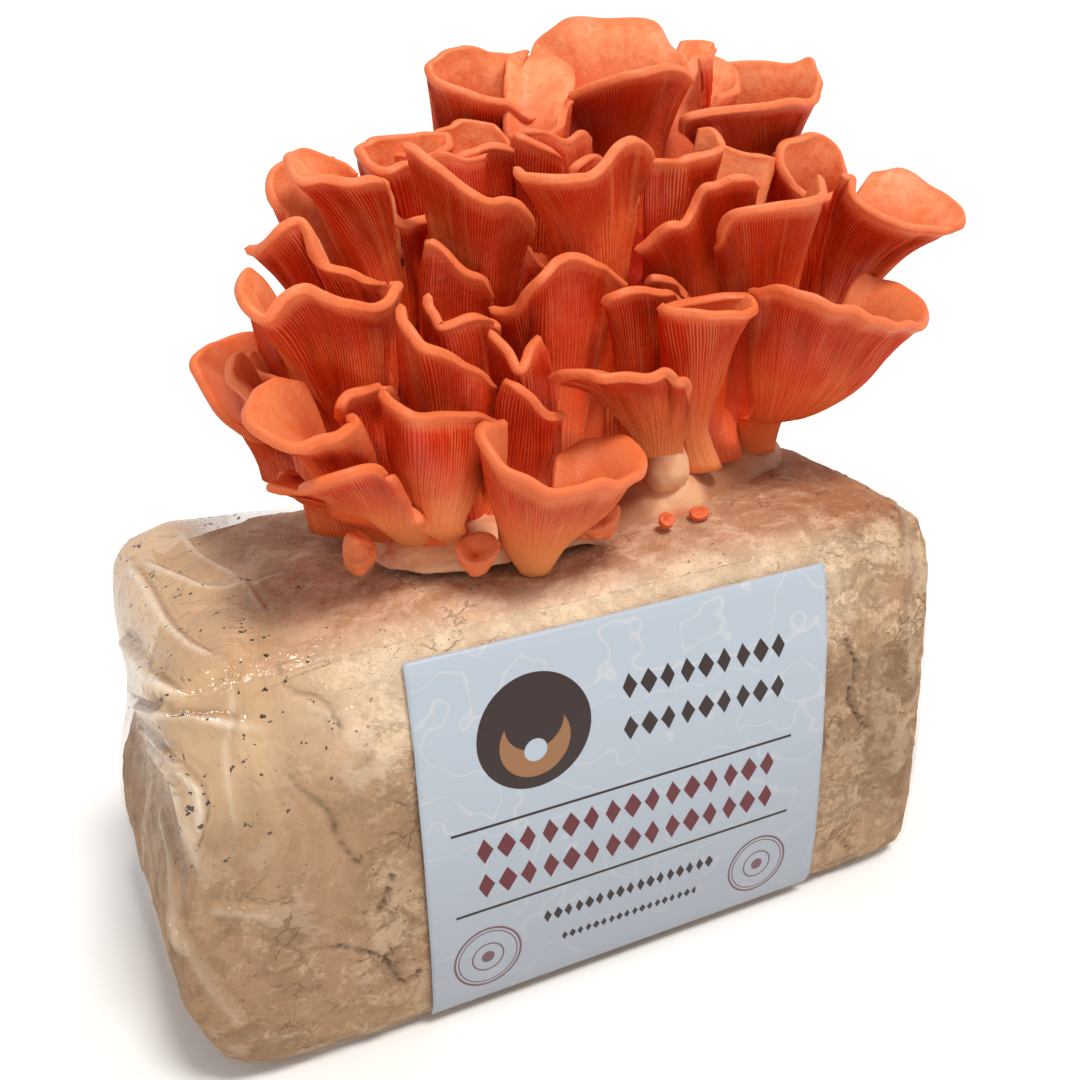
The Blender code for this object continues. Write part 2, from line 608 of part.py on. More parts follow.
def block_cage():
    """The coarse cage of the film round the block: a cube, cut up and pushed into the block's shape."""
    form = bmesh.new()
    bmesh.ops.create_cube(form, size=2.0)
    lines = (LINES_ALONG, LINES_ACROSS, LINES_UP)
    for axis, stations in enumerate(lines):
        along = [e for e in form.edges if abs((e.verts[0].co - e.verts[1].co)[axis]) > 1.9]
        bmesh.ops.subdivide_edges(form, edges=along, cuts=len(stations) - 2, use_grid_fill=True)
    for vert in form.verts:
        step = [round((vert.co[k] + 1) / 2 * (len(lines[k]) - 1)) for k in range(3)]
        x = LINES_ALONG[step[0]] * BLOCK_HALF_LENGTH
        y = LINES_ACROSS[step[1]] * BLOCK_HALF_DEPTH
        z = LINES_UP[step[2]] * BLOCK_TOP
        y *= FRONT_AT_LINES_UP[step[2]] if y < 0 else 1.0
        if step[0] == 5:
            x += RIGHT_END_BULGE[0 if step[1] in (0, 3) else 1]
        if step[2] == 3 and step[0] in (0, 5):
            z -= 4.0
        if step[2] == 3 and step[1] in (0, 3):
            z -= 2.0
        if step[2] == 3 and step[1] == 3 and step[0] == 1:
            z += LOOSE_CORNER_RISE
            y += LOOSE_CORNER_REACH
        if step[1] == 3 and step[0] == 0:
            y -= LOOSE_CORNER_REACH
        if step[2] == 0 and step[0] == 0:
            x += LEFT_END_TUCK
            y *= 0.9
            z += 3.0
        vert.co = Vector((x, y, z + FILM_THICKNESS)) * MM
    mesh = bpy.data.meshes.new("block_cage")
    form.to_mesh(mesh)
    form.free()
    return mesh


def smoothed(mesh, collection, levels=1):
    """The mesh that a Subdivision Surface makes from a cage."""
    guide = add_object("cage_guide", mesh, collection)
    soften = guide.modifiers.new("soften", "SUBSURF")
    soften.levels = soften.render_levels = levels
    depsgraph = bpy.context.evaluated_depsgraph_get()
    made = bpy.data.meshes.new_from_object(guide.evaluated_get(depsgraph))
    bpy.data.objects.remove(guide)
    return made


def shrunk(mesh, inward):
    """A copy of a mesh with every point moved in by a distance that depends on its place."""
    copy = mesh.copy()
    for vert, source in zip(copy.vertices, mesh.vertices):
        vert.co = source.co - source.normal * inward(source.co / MM) * MM
    return copy


def film_stand_off(place):
    """How far the block lies inside the film: more at the loose end, where the film is folded over."""
    loose = math.exp(-((place.x + 112) ** 2) / 900 - (place.z - 116) ** 2 / 900)
    return FILM_GAP + 7.0 * loose


class FilmSurface:
    """The film's outer face, for pieces that lie on it."""

    def __init__(self, mesh):
        points = [v.co + v.normal * FILM_THICKNESS * MM for v in mesh.vertices]
        self.points = points
        self.tree = BVHTree.FromPolygons(points, [tuple(p.vertices) for p in mesh.polygons])

    def front_rows(self):
        """The heights of the film's rows of points on its front, near the label's middle."""
        front = [p / MM for p in self.points if p.y < -0.7 * BLOCK_HALF_DEPTH * MM]
        return [p.z for p in front if abs(p.x - LABEL_MIDDLE_X) < 40]

    def top(self, x, y):
        """The height of the film at a place in plan."""
        hit = self.tree.ray_cast(Vector((x, y, 1000.0)) * MM, Vector((0, 0, -1)))[0]
        return hit.z / MM

    def front(self, x, z):
        """The depth of the film's front at a place in the front view."""
        hit = self.tree.ray_cast(Vector((x, -1000.0, z)) * MM, Vector((0, 1, 0)))[0]
        return hit.y / MM


def slit_line(x):
    """The depth of the slit's middle line at a length along the block."""
    return SLIT_MIDDLE[1] + (x - SLIT_MIDDLE[0]) * SLIT_SLOPE


def oval(half_length, half_depth, turn, shift=0.0):
    """A point on the rounded outline of the slit or of the knot, in plan."""
    c, s = math.cos(turn), math.sin(turn)
    x = SLIT_MIDDLE[0] + half_length * math.copysign(abs(c) ** 0.8, c)
    return x, slit_line(x) + shift + half_depth * math.copysign(abs(s) ** 0.8, s)


def knot_share(x, y):
    """How far out on the knot a place is: 0 in its middle and 1 at its edge."""
    across = abs((y - slit_line(x) - KNOT_SHIFT) / KNOT_HALF_DEPTH)
    along = abs((x - SLIT_MIDDLE[0]) / KNOT_HALF_LENGTH)
    return (across**2.5 + along**2.5) ** 0.4


def knot_top(film, x, y):
    """The height of the knot's upper side above the floor."""
    rim = min(knot_share(x, y), 1.0)
    lumps = 2.5 * math.sin(x / 9.0 + 1.0) * math.cos(y / 7.0) * (1 - rim)
    return film.top(x, y) + KNOT_GAP + 2.0 + (KNOT_RISE - 2.0) * math.sqrt(1 - rim**4) + lumps


def knot_mesh(film):
    """The knot: a neck in the slit, and a lumpy mound that spreads over the film."""
    columns = KNOT_COLUMNS
    rings = []
    turns = [2 * math.pi * k / columns for k in range(columns)]
    neck = (SLIT_HALF_LENGTH - 1.5, SLIT_HALF_WIDTH - 1.5)
    edge = (KNOT_HALF_LENGTH, KNOT_HALF_DEPTH)
    neck_points = [oval(*neck, turn) for turn in turns]
    edge_points = [oval(*edge, turn, KNOT_SHIFT) for turn in turns]
    rings.append([(x, y, film.top(x, y) - FILM_THICKNESS) for x, y in neck_points])
    rings.append([(x, y, film.top(x, y) + KNOT_GAP) for x, y in neck_points])
    half_way = [((a + c) / 2, (b + d) / 2) for (a, b), (c, d) in zip(neck_points, edge_points)]
    rings.append([(x, y, film.top(x, y) + KNOT_GAP) for x, y in half_way])
    rings.append([(x, y, film.top(x, y) + KNOT_GAP) for x, y in edge_points])
    for share in (1.0, 0.9, 0.7, 0.4):
        ring = []
        for turn in turns:
            x, y = oval(edge[0] * share, edge[1] * share, turn, KNOT_SHIFT)
            ring.append((x, y, knot_top(film, x, y)))
        rings.append(ring)
    points = np.array(rings).reshape(-1, 3)
    centre = (*SLIT_MIDDLE, knot_top(film, *SLIT_MIDDLE))
    points = np.vstack([points, centre, (*SLIT_MIDDLE, film.top(*SLIT_MIDDLE) - FILM_THICKNESS)])
    faces = []
    for r in range(len(rings) - 1):
        for c in range(columns):
            n = (c + 1) % columns
            faces.append((r * columns + c, r * columns + n, (r + 1) * columns + n, (r + 1) * columns + c))
    last = (len(rings) - 1) * columns
    for c in range(columns):
        n = (c + 1) % columns
        faces.append((last + c, last + n, len(points) - 2))
        faces.append((n, c, len(points) - 1))
    return mesh_from("knot", points, faces)


class Ground:
    """What a stem stands on: the knot's upper side, or the film beside it."""

    def __init__(self, film, knot):
        self.film = film
        corners = [tuple(p.vertices) for p in knot.polygons]
        self.tree = BVHTree.FromPolygons([v.co for v in knot.vertices], corners)

    def height(self, x, y):
        """The height at which a stem that stands here starts."""
        hit = self.tree.ray_cast(Vector((x, y, 1000.0)) * MM, Vector((0, 0, -1)))[0]
        return (hit.z / MM if hit else self.film.top(x, y)) + ROOT_GAP


def cutter(name, mesh, collection):
    """An object that only cuts others."""
    made = add_object(name, mesh, collection)
    made.hide_render = True
    made.display_type = "WIRE"
    return made


def cut(piece, tool):
    """Takes a cutter's shape out of a piece."""
    change = piece.modifiers.new("cut", "BOOLEAN")
    change.operation = "DIFFERENCE"
    change.solver = "EXACT"
    change.object = tool


def slit_mesh():
    """A prism along the slit, tall enough to go through the film."""
    columns = KNOT_COLUMNS
    turns = [2 * math.pi * k / columns for k in range(columns)]
    outline = [oval(SLIT_HALF_LENGTH, SLIT_HALF_WIDTH, turn) for turn in turns]
    low = [(x, y, BLOCK_TOP - 12) for x, y in outline]
    high = [(x, y, BLOCK_TOP + 12) for x, y in outline]
    faces = [tuple(range(columns - 1, -1, -1)), tuple(range(columns, 2 * columns))]
    for c in range(columns):
        n = (c + 1) % columns
        faces.append((c, n, columns + n, columns + c))
    return mesh_from("slit", low + high, faces)


def label_mesh(film):
    """A sheet that follows the film's front and is bent where the film's own rows are."""
    cells = 4
    bends = {round(z, 2) for z in film.front_rows() if LABEL_BOTTOM_Z + 2 < z < LABEL_TOP_Z - 2}
    heights = [LABEL_TOP_Z, *sorted(bends, reverse=True), LABEL_BOTTOM_Z]
    points, faces = [], []
    for skin in (0, 1):
        for row, z in enumerate(heights):
            for column in range(cells + 1):
                x = LABEL_MIDDLE_X + LABEL_SIDE * (column / cells - 0.5)
                y = film.front(x, z) - LABEL_GAP - (0 if skin else LABEL_THICKNESS)
                points.append((x, y, z))
    wide = cells + 1
    skin_size = wide * len(heights)
    last_row = len(heights) - 1
    for row in range(last_row):
        for column in range(cells):
            a = row * wide + column
            faces.append((a, a + wide, a + wide + 1, a + 1))
            faces.append(tuple(skin_size + i for i in (a, a + 1, a + wide + 1, a + wide)))
    border = [c for c in range(cells)] + [r * wide + cells for r in range(last_row)]
    border += [last_row * wide + c for c in range(cells, 0, -1)] + [r * wide for r in range(last_row, 0, -1)]
    for here, there in zip(border, border[1:] + border[:1]):
        faces.append((here, there, skin_size + there, skin_size + here))
    return mesh_from("label", points, faces)


def bud_mesh(film, place, half):
    """A small round cap on the film."""
    form = bmesh.new()
    bmesh.ops.create_uvsphere(form, u_segments=7, v_segments=4, radius=1.0)
    lift = film.top(*place) + half[2] + KNOT_GAP
    middle = Vector((*place, lift))
    for vert in form.verts:
        vert.co = (middle + vert.co * Vector(half)) * MM
    mesh = bpy.data.meshes.new("bud")
    form.to_mesh(mesh)
    form.free()
    return mesh


def build():
    """Makes every piece of the kit."""
    for old in list(bpy.data.objects):
        bpy.data.objects.remove(old)
    kit = bpy.data.collections.new("mushroom_grow_kit")
    tools = bpy.data.collections.new("cutters")
    bpy.context.scene.collection.children.link(kit)
    bpy.context.scene.collection.children.link(tools)
    flesh = material("mushroom_flesh", (0.72, 0.16, 0.05), 0.6)
    stem_flesh = material("knot_flesh", (0.75, 0.4, 0.24), 0.65)
    film_finish = material("clear_film", (0.8, 0.76, 0.68), 0.2)
    block_finish = material("grown_sawdust", (0.55, 0.42, 0.29), 0.9)
    paper = material("label_paper", (0.6, 0.68, 0.76), 0.6)

    film_form = smoothed(block_cage(), kit)
    film = FilmSurface(film_form)
    add_object("substrate_block", shrunk(film_form, film_stand_off), kit, block_finish)
    bag = add_object("bag", film_form, kit, film_finish)
    wall = bag.modifiers.new("wall", "SOLIDIFY")
    wall.thickness = FILM_THICKNESS * MM
    wall.offset = 1.0
    cut(bag, cutter("slit_cutter", slit_mesh(), tools))
    add_object("label", label_mesh(film), kit, paper)
    add_object("cluster_base", knot_mesh(film), kit, stem_flesh)
    knot = kit.objects["cluster_base"].data
    mound = Ground(film, knot)

    crowd = Crowd()
    thicket = Thicket()
    shells = [Shell(cap) for cap in FRONT_CAPS + tuple(back_cap(spec) for spec in BACK_CAPS)]
    owned = []
    for shell in shells:
        near = thicket.cubes_near(lay_behind(shell, crowd), STEM_RADIUS + 2.0)
        thicket.load[near] += 1
        about_throat = thicket.cubes_near(shell.throat_centre()[None], THROAT_REACH)
        owned.append(np.intersect1d(near, about_throat))
    for number, (shell, own) in enumerate(zip(shells, owned), start=1):
        thicket.load[own] -= 1
        path, line = lead_stem(shell, thicket, mound.height)
        thicket.load[own] += 1
        thicket.load[thicket.cubes_near(line, 2.1 * STEM_RADIUS + 1.3)] += 1
        points = shell.all_points(path, mound.height)
        faces = shell.faces()
        rows, columns = points.shape[1:3]
        index = (faces[..., 0] * rows + faces[..., 1]) * columns + faces[..., 2]
        mesh = mesh_from("mushroom", points.reshape(-1, 3), index)
        add_object(f"mushroom_{number:02d}", mesh, kit, flesh)
    for number, (place, half) in enumerate(BUDS, start=1):
        add_object(f"bud_{number:02d}", bud_mesh(film, place, half), kit, flesh)


build()
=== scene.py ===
"""The looks of the oyster mushroom grow kit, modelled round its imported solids.

Sizes in the classes and tables below are in millimetres, and a mesh is turned into metres when it is
made. X runs along the block, the label is on the -Y side, and Z is up.
"""

import logging
import math
from contextlib import contextmanager
from dataclasses import dataclass
from enum import Enum
from typing import Iterator, Optional, Sequence, Union

import bmesh
import bpy
import numpy as np
from mathutils import Matrix, Vector, noise
from mathutils.bvhtree import BVHTree

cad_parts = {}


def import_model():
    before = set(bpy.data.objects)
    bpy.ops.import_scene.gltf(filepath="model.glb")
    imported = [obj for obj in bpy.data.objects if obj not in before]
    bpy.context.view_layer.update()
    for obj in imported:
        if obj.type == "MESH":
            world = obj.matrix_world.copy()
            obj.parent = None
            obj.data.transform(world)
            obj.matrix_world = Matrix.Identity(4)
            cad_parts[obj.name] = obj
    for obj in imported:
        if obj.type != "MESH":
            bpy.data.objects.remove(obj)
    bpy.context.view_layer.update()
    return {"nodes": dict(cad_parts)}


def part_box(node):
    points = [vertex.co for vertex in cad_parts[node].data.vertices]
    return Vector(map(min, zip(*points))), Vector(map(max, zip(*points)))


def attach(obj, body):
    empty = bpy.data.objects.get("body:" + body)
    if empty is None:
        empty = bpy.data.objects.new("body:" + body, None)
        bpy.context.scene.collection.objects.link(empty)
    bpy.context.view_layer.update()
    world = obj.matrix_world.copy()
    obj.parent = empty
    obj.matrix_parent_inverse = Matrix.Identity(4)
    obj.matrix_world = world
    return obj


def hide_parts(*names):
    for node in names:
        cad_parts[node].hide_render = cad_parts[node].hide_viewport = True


MM = 0.001
BODY = "root"
Piece = bpy.types.Object
Finish = bpy.types.Material
Socket = bpy.types.NodeSocket
Amount = Union[float, Socket]
Colour = Union[tuple, Socket]

log = logging.getLogger("grow_kit")


class Slot(Enum):
    """The slots for the finishes."""

    FILM = "clear_film"
    PAPER = "label_paper"
    SAWDUST = "grown_sawdust"
    KNOT = "knot_flesh"
    FLESH = "mushroom_flesh"


@dataclass(frozen=True)
class Cap:
    """One mushroom: where its stem starts, where its cap starts, and points along its rim.

    The values down to depth are those that its solid is made with: whether the rim goes all round, how
    late the cap spreads and rises, its columns and rows, and how far its flare reaches down. The others
    are looks: the width of its smooth lip, how far its foot fades to cream, the size of its throat, how
    much later than its solid it flares, the foot's share of the throat, and how deep its root goes.
    """

    foot: tuple
    throat: tuple
    rim: tuple
    closed: bool = False
    spread: float = 1.0
    rise: float = 1.15
    columns: int = 7
    rows: int = 3
    depth: float = 45.0
    lip: float = 1.9
    pale: float = 0.25
    girth: float = 1.35
    bend: float = 1.55
    foot_share: float = 1.25
    sink: float = 7.0


@dataclass(frozen=True)
class BackCap:
    """A cap on the far side: its stem, the way it faces (degrees from +X), its reach and rim height."""

    foot: tuple
    throat: tuple
    facing: float
    reach: float
    top: float
    points: int = 7
    step: float = 28
    ruffle: float = 0.07
    wave: float = 3

    def as_cap(self) -> Cap:
        """Gives the fan whose rim is an arc with a gentle ruffle.

        Returns:
            The cap, as its solid is made.
        """
        rim = []
        for k in range(self.points):
            turn = math.radians(self.facing + self.step * (k - self.points // 2))
            reach = self.reach * (1 + self.ruffle * math.cos(2.4 * k))
            rim.append((self.throat[0] + reach * math.cos(turn), self.throat[1] + reach * math.sin(turn),
                        self.top + self.wave * math.sin(1.9 * k)))
        return Cap(self.foot, self.throat, tuple(rim), columns=6, rows=2)


# The caps that face the front, nearest first. Every point is (x, y, z); a rim runs round its cap.
FRONT_CAPS = (
    # The low caps in front, over the edge of the knot
    Cap((-9, -31), (-9, -32, 136), (
        (-15, -29, 170), (-26, -40, 174), (-29, -46, 172), (-26, -52, 166), (-17, -56, 160), (-4, -55, 158),
        (13, -48, 155), (21, -40, 156), (21, -28, 159), (13, -22, 157), (3, -20, 154)), spread=0.9,
        rise=1.3, columns=10, lip=6.5, pale=0.85, girth=1.4, bend=0.9, foot_share=0.4, sink=3.0),
    Cap((-34, -18), (-46, -29, 148), (
        (-73, -36, 163), (-70, -41, 167), (-62, -44, 169), (-56, -42, 168), (-51, -38, 164),
        (-48, -32, 159)), lip=3.0, pale=0.9, girth=1.0, bend=1.0, foot_share=0.6),
    Cap((-22, -25), (-36, -30, 145), (
        (-48, -26, 182), (-47, -33, 181), (-43, -38, 179), (-36, -40, 178), (-29, -40, 177),
        (-24, -37, 175), (-17, -30, 170)), lip=2.8, pale=0.8, girth=1.0, bend=0.9, foot_share=0.4),
    Cap((-42, -10), (-58, -24, 155), (
        (-63, -13, 183), (-71, -20, 187), (-79, -30, 188), (-84, -40, 186), (-82, -46, 183),
        (-75, -48, 179), (-67, -44, 178), (-58, -36, 178), (-58, -30, 178)), columns=9, lip=8.0, pale=0.4),
    Cap((-34, -13), (-51, -20, 158), (
        (-60, -30, 177), (-60, -33, 182), (-58, -34, 185), (-53, -32, 185), (-48, -28, 184),
        (-44, -22, 181)), columns=6, lip=2.6, pale=0.3),
    Cap((-12, -14), (-1, -20, 162), (
        (-12, -22, 179), (-10, -27, 178), (-6, -32, 173), (2, -30, 168)), columns=4, rows=2),
    Cap((-24, -13), (-32, -16, 165), (
        (-39, -18, 201), (-40, -26, 198), (-38, -31, 194), (-34, -33, 192), (-23, -31, 185),
        (-18, -27, 181), (-15, -22, 177))),
    # The low left side, with its wide outer cap and the small ones between
    Cap((-42, -6), (-54, -12, 170), (
        (-68, 0, 208), (-73, -6, 211), (-77, -16, 210), (-78, -24, 206), (-75, -30, 204), (-71, -32, 208),
        (-66, -33, 211), (-62, -35, 210), (-57, -37, 207), (-51, -36, 205), (-44, -30, 206),
        (-39, -22, 207), (-39, -14, 206)), columns=10, lip=3.2, pale=0.3),
    Cap((-46, -9), (-58, -14, 151), (
        (-67, -12, 158), (-72, -16, 160), (-77, -22, 161), (-75, -26, 160), (-70, -26, 158)), columns=5,
        rows=2),
    Cap((-44, 0), (-66, -8, 170), (
        (-75, 2, 189), (-79, -4, 189), (-81, -12, 186), (-78, -20, 182)), columns=4, rows=2, depth=15),
    Cap((-36, 3), (-62, -2, 170), (
        (-67, 12, 185), (-71, 8, 187), (-75, 0, 187), (-74, -8, 186), (-69, -12, 184)), columns=5, rows=2,
        depth=15),
    # The middle, above the bare foot of the knot
    Cap((54, -4), (44, -8, 145), (
        (2, -18, 176), (3, -25, 178), (7, -31, 180), (11, -35, 179), (24, -36, 178), (30, -34, 177),
        (37, -30, 173), (45, -23, 167)), columns=8, lip=3.0, pale=0.9, girth=1.0, foot_share=0.5),
    Cap((62, 0), (56, -2, 148), (
        (36, -19, 191), (42, -27, 191), (49, -28, 190), (59, -26, 188), (69, -18, 188), (70, -12, 190),
        (60, -9, 190), (51, -11, 189)), closed=True, columns=8, lip=2.8, pale=0.7, girth=1.0, bend=1.2),
    Cap((-46, 6), (-66, -10, 157), (
        (-67, 16, 190), (-77, 6, 192), (-84, -6, 194), (-90, -18, 194), (-90, -26, 192), (-89, -33, 185),
        (-85, -36, 181), (-80, -38, 179), (-70, -34, 178)), columns=9, depth=20, lip=3.0, pale=0.3),
    Cap((0, -10), (-4, -12, 169), (
        (-13, -16, 191), (-11, -22, 187), (-9, -25, 182), (-4, -20, 186), (1, -14, 187)), columns=4,
        rows=2),
    Cap((-16, -4), (-19, -10, 179), (
        (-27, -10, 201), (-29, -17, 198), (-30, -23, 195), (-23, -25, 197), (-17, -22, 196), (-9, -14, 191)),
        columns=6),
    # The big cup on the right, and the caps between it and the middle
    Cap((96, 12), (90, 6, 144), (
        (71, -10, 190), (71, -18, 192), (75, -25, 193), (82, -30, 190), (91, -33, 187), (102, -33, 183),
        (114, -31, 179), (127, -25, 177), (136, -14, 179), (137, -3, 182), (134, 4, 184), (128, 9, 186)),
        spread=0.75, rise=1.2, columns=11, rows=4, lip=3.6, pale=0.45, girth=1.0, bend=0.62,
        foot_share=1.0),
    Cap((46, 2), (42, 0, 163), (
        (24, -8, 192), (25, -13, 195), (29, -16, 197), (40, -16, 195), (46, -13, 192), (52, -7, 187)),
        columns=6),
    Cap((56, 8), (53, 4, 172), (
        (40, -4, 195), (41, -8, 197), (48, -8, 195), (54, -4, 190), (59, 1, 184)), columns=4, rows=2),
    Cap((6, -2), (17, -2, 172), (
        (-10, -8, 195), (-7, -13, 195), (-4, -16, 197), (3, -19, 206), (7, -20, 208), (13, -20, 208),
        (19, -18, 205), (31, -11, 197)), columns=9),
    Cap((-20, 4), (-18, 0, 186), (
        (-25, -2, 213), (-23, -7, 213), (-18, -14, 207), (-13, -14, 204), (-10, -11, 200), (-7, -6, 195))),
    Cap((84, 14), (91, 8, 180), (
        (68, 2, 202), (64, -5, 207), (64, -10, 212), (68, -14, 214), (76, -16, 215), (86, -15, 215),
        (96, -10, 216), (103, -2, 218), (106, 5, 219)), columns=9, lip=2.8, pale=0.3),
    Cap((104, 24), (122, 14, 180), (
        (113, 3, 219), (115, -1, 218), (109, -8, 215), (109, -14, 212), (115, -18, 208), (124, -20, 205),
        (137, -19, 203), (151, -11, 204), (157, 0, 207), (157, 12, 211), (152, 22, 215), (142, 24, 215)),
        columns=11, lip=3.0, pale=0.3),
    # The upper left side
    Cap((-28, -3), (-53, 0, 192), (
        (-70, 6, 214), (-68, 0, 215), (-64, -8, 221), (-60, -11, 222), (-59, -17, 216), (-57, -20, 213),
        (-52, -22, 211), (-48, -21, 209), (-43, -17, 207), (-40, -11, 203)), columns=10),
    Cap((68, 10), (65, 4, 186), (
        (37, -3, 205), (39, -8, 208), (43, -12, 211), (47, -13, 212), (50, -12, 215), (53, -13, 221),
        (57, -13, 222), (64, -11, 223), (73, -7, 222), (80, -1, 219)), columns=9, bend=1.9),
    Cap((20, 4), (29, 4, 198), (
        (2, 0, 229), (2, -5, 227), (8, -11, 227), (15, -13, 227), (20, -12, 228), (28, -9, 233),
        (34, -7, 235), (39, -4, 234), (45, 1, 231), (48, 6, 228)), columns=9, bend=2.3),
    Cap((40, 10), (59, 10, 203), (
        (45, 5, 228), (48, 1, 228), (54, -1, 228), (65, 0, 229), (70, 4, 231), (71, 10, 234), (68, 14, 234))),
    Cap((-8, 8), (-8, 4, 194), (
        (-28, 2, 237), (-26, -3, 236), (-21, -10, 232), (-14, -13, 225), (-10, -14, 223), (-6, -14, 223),
        (-1, -13, 221), (4, -9, 216), (4, -5, 211), (7, -3, 205), (11, -1, 202)), columns=10, bend=1.8),
    Cap((-28, 10), (-43, 6, 200), (
        (-39, 4, 230), (-42, 8, 233), (-51, 11, 236), (-57, 5, 236), (-60, -2, 235), (-60, -9, 233),
        (-57, -13, 232), (-50, -16, 232), (-43, -17, 232), (-39, -15, 230), (-39, -14, 226),
        (-37, -15, 222), (-33, -14, 220), (-23, -6, 220)), columns=11, bend=1.8),
    # The top
    Cap((92, 24), (115, 22, 176), (
        (94, 8, 222), (95, 2, 216), (108, 4, 212), (124, 14, 215), (129, 22, 219), (130, 28, 224),
        (123, 29, 228), (111, 24, 228), (99, 15, 226)), closed=True, columns=9),
    Cap((30, 14), (37, 16, 207), (
        (23, 8, 225), (24, 6, 228), (29, 6, 230), (33, 9, 229)), columns=4, rows=2),
    Cap((18, 16), (25, 18, 208), (
        (10, 16, 236), (12, 12, 235), (18, 8, 232), (20, 10, 228), (22, 14, 225)), columns=4, rows=2),
    Cap((6, 14), (4, 14, 210), (
        (-12, 10, 230), (-11, 5, 233), (-8, 2, 234), (-4, 0, 235), (1, -1, 234), (6, 0, 233), (11, 2, 230),
        (16, 6, 228), (19, 11, 225))),
    Cap((-18, 14), (-26, 14, 213), (
        (-37, 10, 236), (-38, 3, 234), (-34, -2, 232), (-29, 0, 233), (-22, 4, 233), (-14, 10, 234),
        (-8, 20, 237), (-13, 24, 237), (-21, 22, 237), (-29, 17, 237)), closed=True, columns=9),
    Cap((0, 26), (-1, 22, 214), (
        (-14, 12, 234), (-10, 6, 231), (-1, 8, 230), (9, 18, 232), (12, 28, 235), (11, 34, 237),
        (2, 32, 239), (-4, 26, 238), (-10, 22, 237)), closed=True, columns=9),
    Cap((80, 22), (90, 16, 211), (
        (59, 10, 234), (56, 3, 238), (60, -2, 240), (71, -6, 241), (84, -8, 242), (96, -4, 242),
        (104, 4, 245), (110, 14, 248), (113, 22, 251), (106, 26, 250), (93, 28, 251), (86, 30, 251)),
        columns=11, bend=2.5),
    Cap((0, 18), (3, 26, 224), (
        (32, 52, 255), (23, 48, 255), (15, 42, 256), (7, 36, 258), (-2, 29, 258), (-10, 22, 256),
        (-15, 15, 254), (-16, 10, 252), (-12, 6, 250), (-7, 4, 248), (-1, 3, 246), (5, 4, 244),
        (13, 8, 240)), columns=12, bend=1.8),
    Cap((26, 18), (55, 30, 220), (
        (22, 16, 245), (25, 11, 246), (34, 6, 249), (42, 6, 251), (60, 11, 251), (68, 18, 249),
        (74, 32, 253), (74, 40, 256), (72, 48, 262), (56, 52, 264), (45, 50, 264), (38, 47, 262),
        (29, 42, 258), (22, 30, 251)), closed=True, columns=12, bend=2.1),
    Cap((46, 21), (79, 36, 225), (
        (83, 50, 256), (91, 50, 256), (94, 47, 255), (88, 40, 253), (80, 34, 252)), columns=4, rows=2),
)

BACK_CAPS = (
    BackCap((-20, 18), (-32, 36, 169), 125, 19, 201),
    BackCap((-2, 22), (-6, 42, 173), 100, 19, 208),
    BackCap((18, 26), (20, 44, 177), 90, 19, 205),
    BackCap((40, 30), (44, 46, 179), 85, 19, 213),
    BackCap((62, 33), (68, 46, 173), 75, 19, 203),
    BackCap((80, 34), (92, 44, 169), 60, 19, 195),
    BackCap((92, 31), (116, 38, 161), 40, 19, 183),
)

# Caps that fill the view between those at the top, without a solid of their own
FILLER_CAPS = (
    Cap((10, 24), (22, 36, 214), (
        (28, 62, 253), (37, 64, 253), (44, 60, 253), (46, 52, 249), (42, 44, 242), (34, 36, 237),
        (26, 28, 234)), columns=6),
    Cap((52, 30), (82, 42, 222), (
        (84, 58, 252), (92, 56, 251), (99, 50, 250), (101, 43, 246), (96, 36, 243), (86, 31, 241)),
        columns=5),
    Cap((-6, 30), (-4, 32, 205), (
        (-18, 44, 230), (-18, 38, 231), (-12, 34, 230), (-6, 30, 231), (0, 28, 229), (6, 26, 230)),
        columns=6),
    Cap((24, 28), (32, 34, 208), (
        (14, 30, 234), (18, 26, 236), (24, 26, 235), (31, 28, 232), (37, 30, 234), (42, 32, 231)),
        columns=6),
    Cap((-36, 16), (-44, 20, 204), (
        (-58, 16, 222), (-59, 19, 226), (-57, 24, 230), (-52, 28, 232), (-46, 30, 232), (-38, 28, 232)),
        columns=6),
    Cap((66, 14), (80, 16, 196), (
        (76, 20, 230), (86, 18, 226), (96, 20, 224), (104, 24, 222), (110, 30, 222)), columns=5),
    Cap((-48, 14), (-58, 12, 172), (
        (-64, 26, 194), (-68, 18, 197), (-66, 8, 198), (-60, 4, 196)), columns=4),
)


def smooth_curve(points: Sequence, closed: bool, count: int) -> np.ndarray:
    """Gives points evenly spaced along a Catmull-Rom curve.

    Args:
        points: The points that the curve runs through.
        closed: Whether the curve comes back to its first point.
        count: How many equal stretches the curve is cut into.

    Returns:
        One row a point. An open curve has one point more than it has stretches.
    """
    given = np.array(points, float)
    if closed:
        guide = np.vstack([given[-1:], given, given[:2]])
    else:
        guide = np.vstack([2 * given[:1] - given[1:2], given, 2 * given[-1:] - given[-2:-1]])
    t = np.linspace(0, 1, 12, endpoint=False)[:, None]
    runs = []
    for a, b, c, d in zip(guide[:-3], guide[1:-2], guide[2:-1], guide[3:]):
        bend = 2 * a - 5 * b + 4 * c - d
        twist = 3 * b - a - 3 * c + d
        runs.append(b + 0.5 * ((c - a) * t + bend * t**2 + twist * t**3))
    curve = np.vstack(runs + [given[:1] if closed else given[-1:]])
    along = np.concatenate([[0.0], np.cumsum(np.linalg.norm(np.diff(curve, axis=0), axis=1))])
    stations = np.linspace(0, along[-1], count + 1)
    if closed:
        stations = stations[:-1]
    return np.stack([np.interp(stations, along, curve[:, k]) for k in range(3)], axis=1)


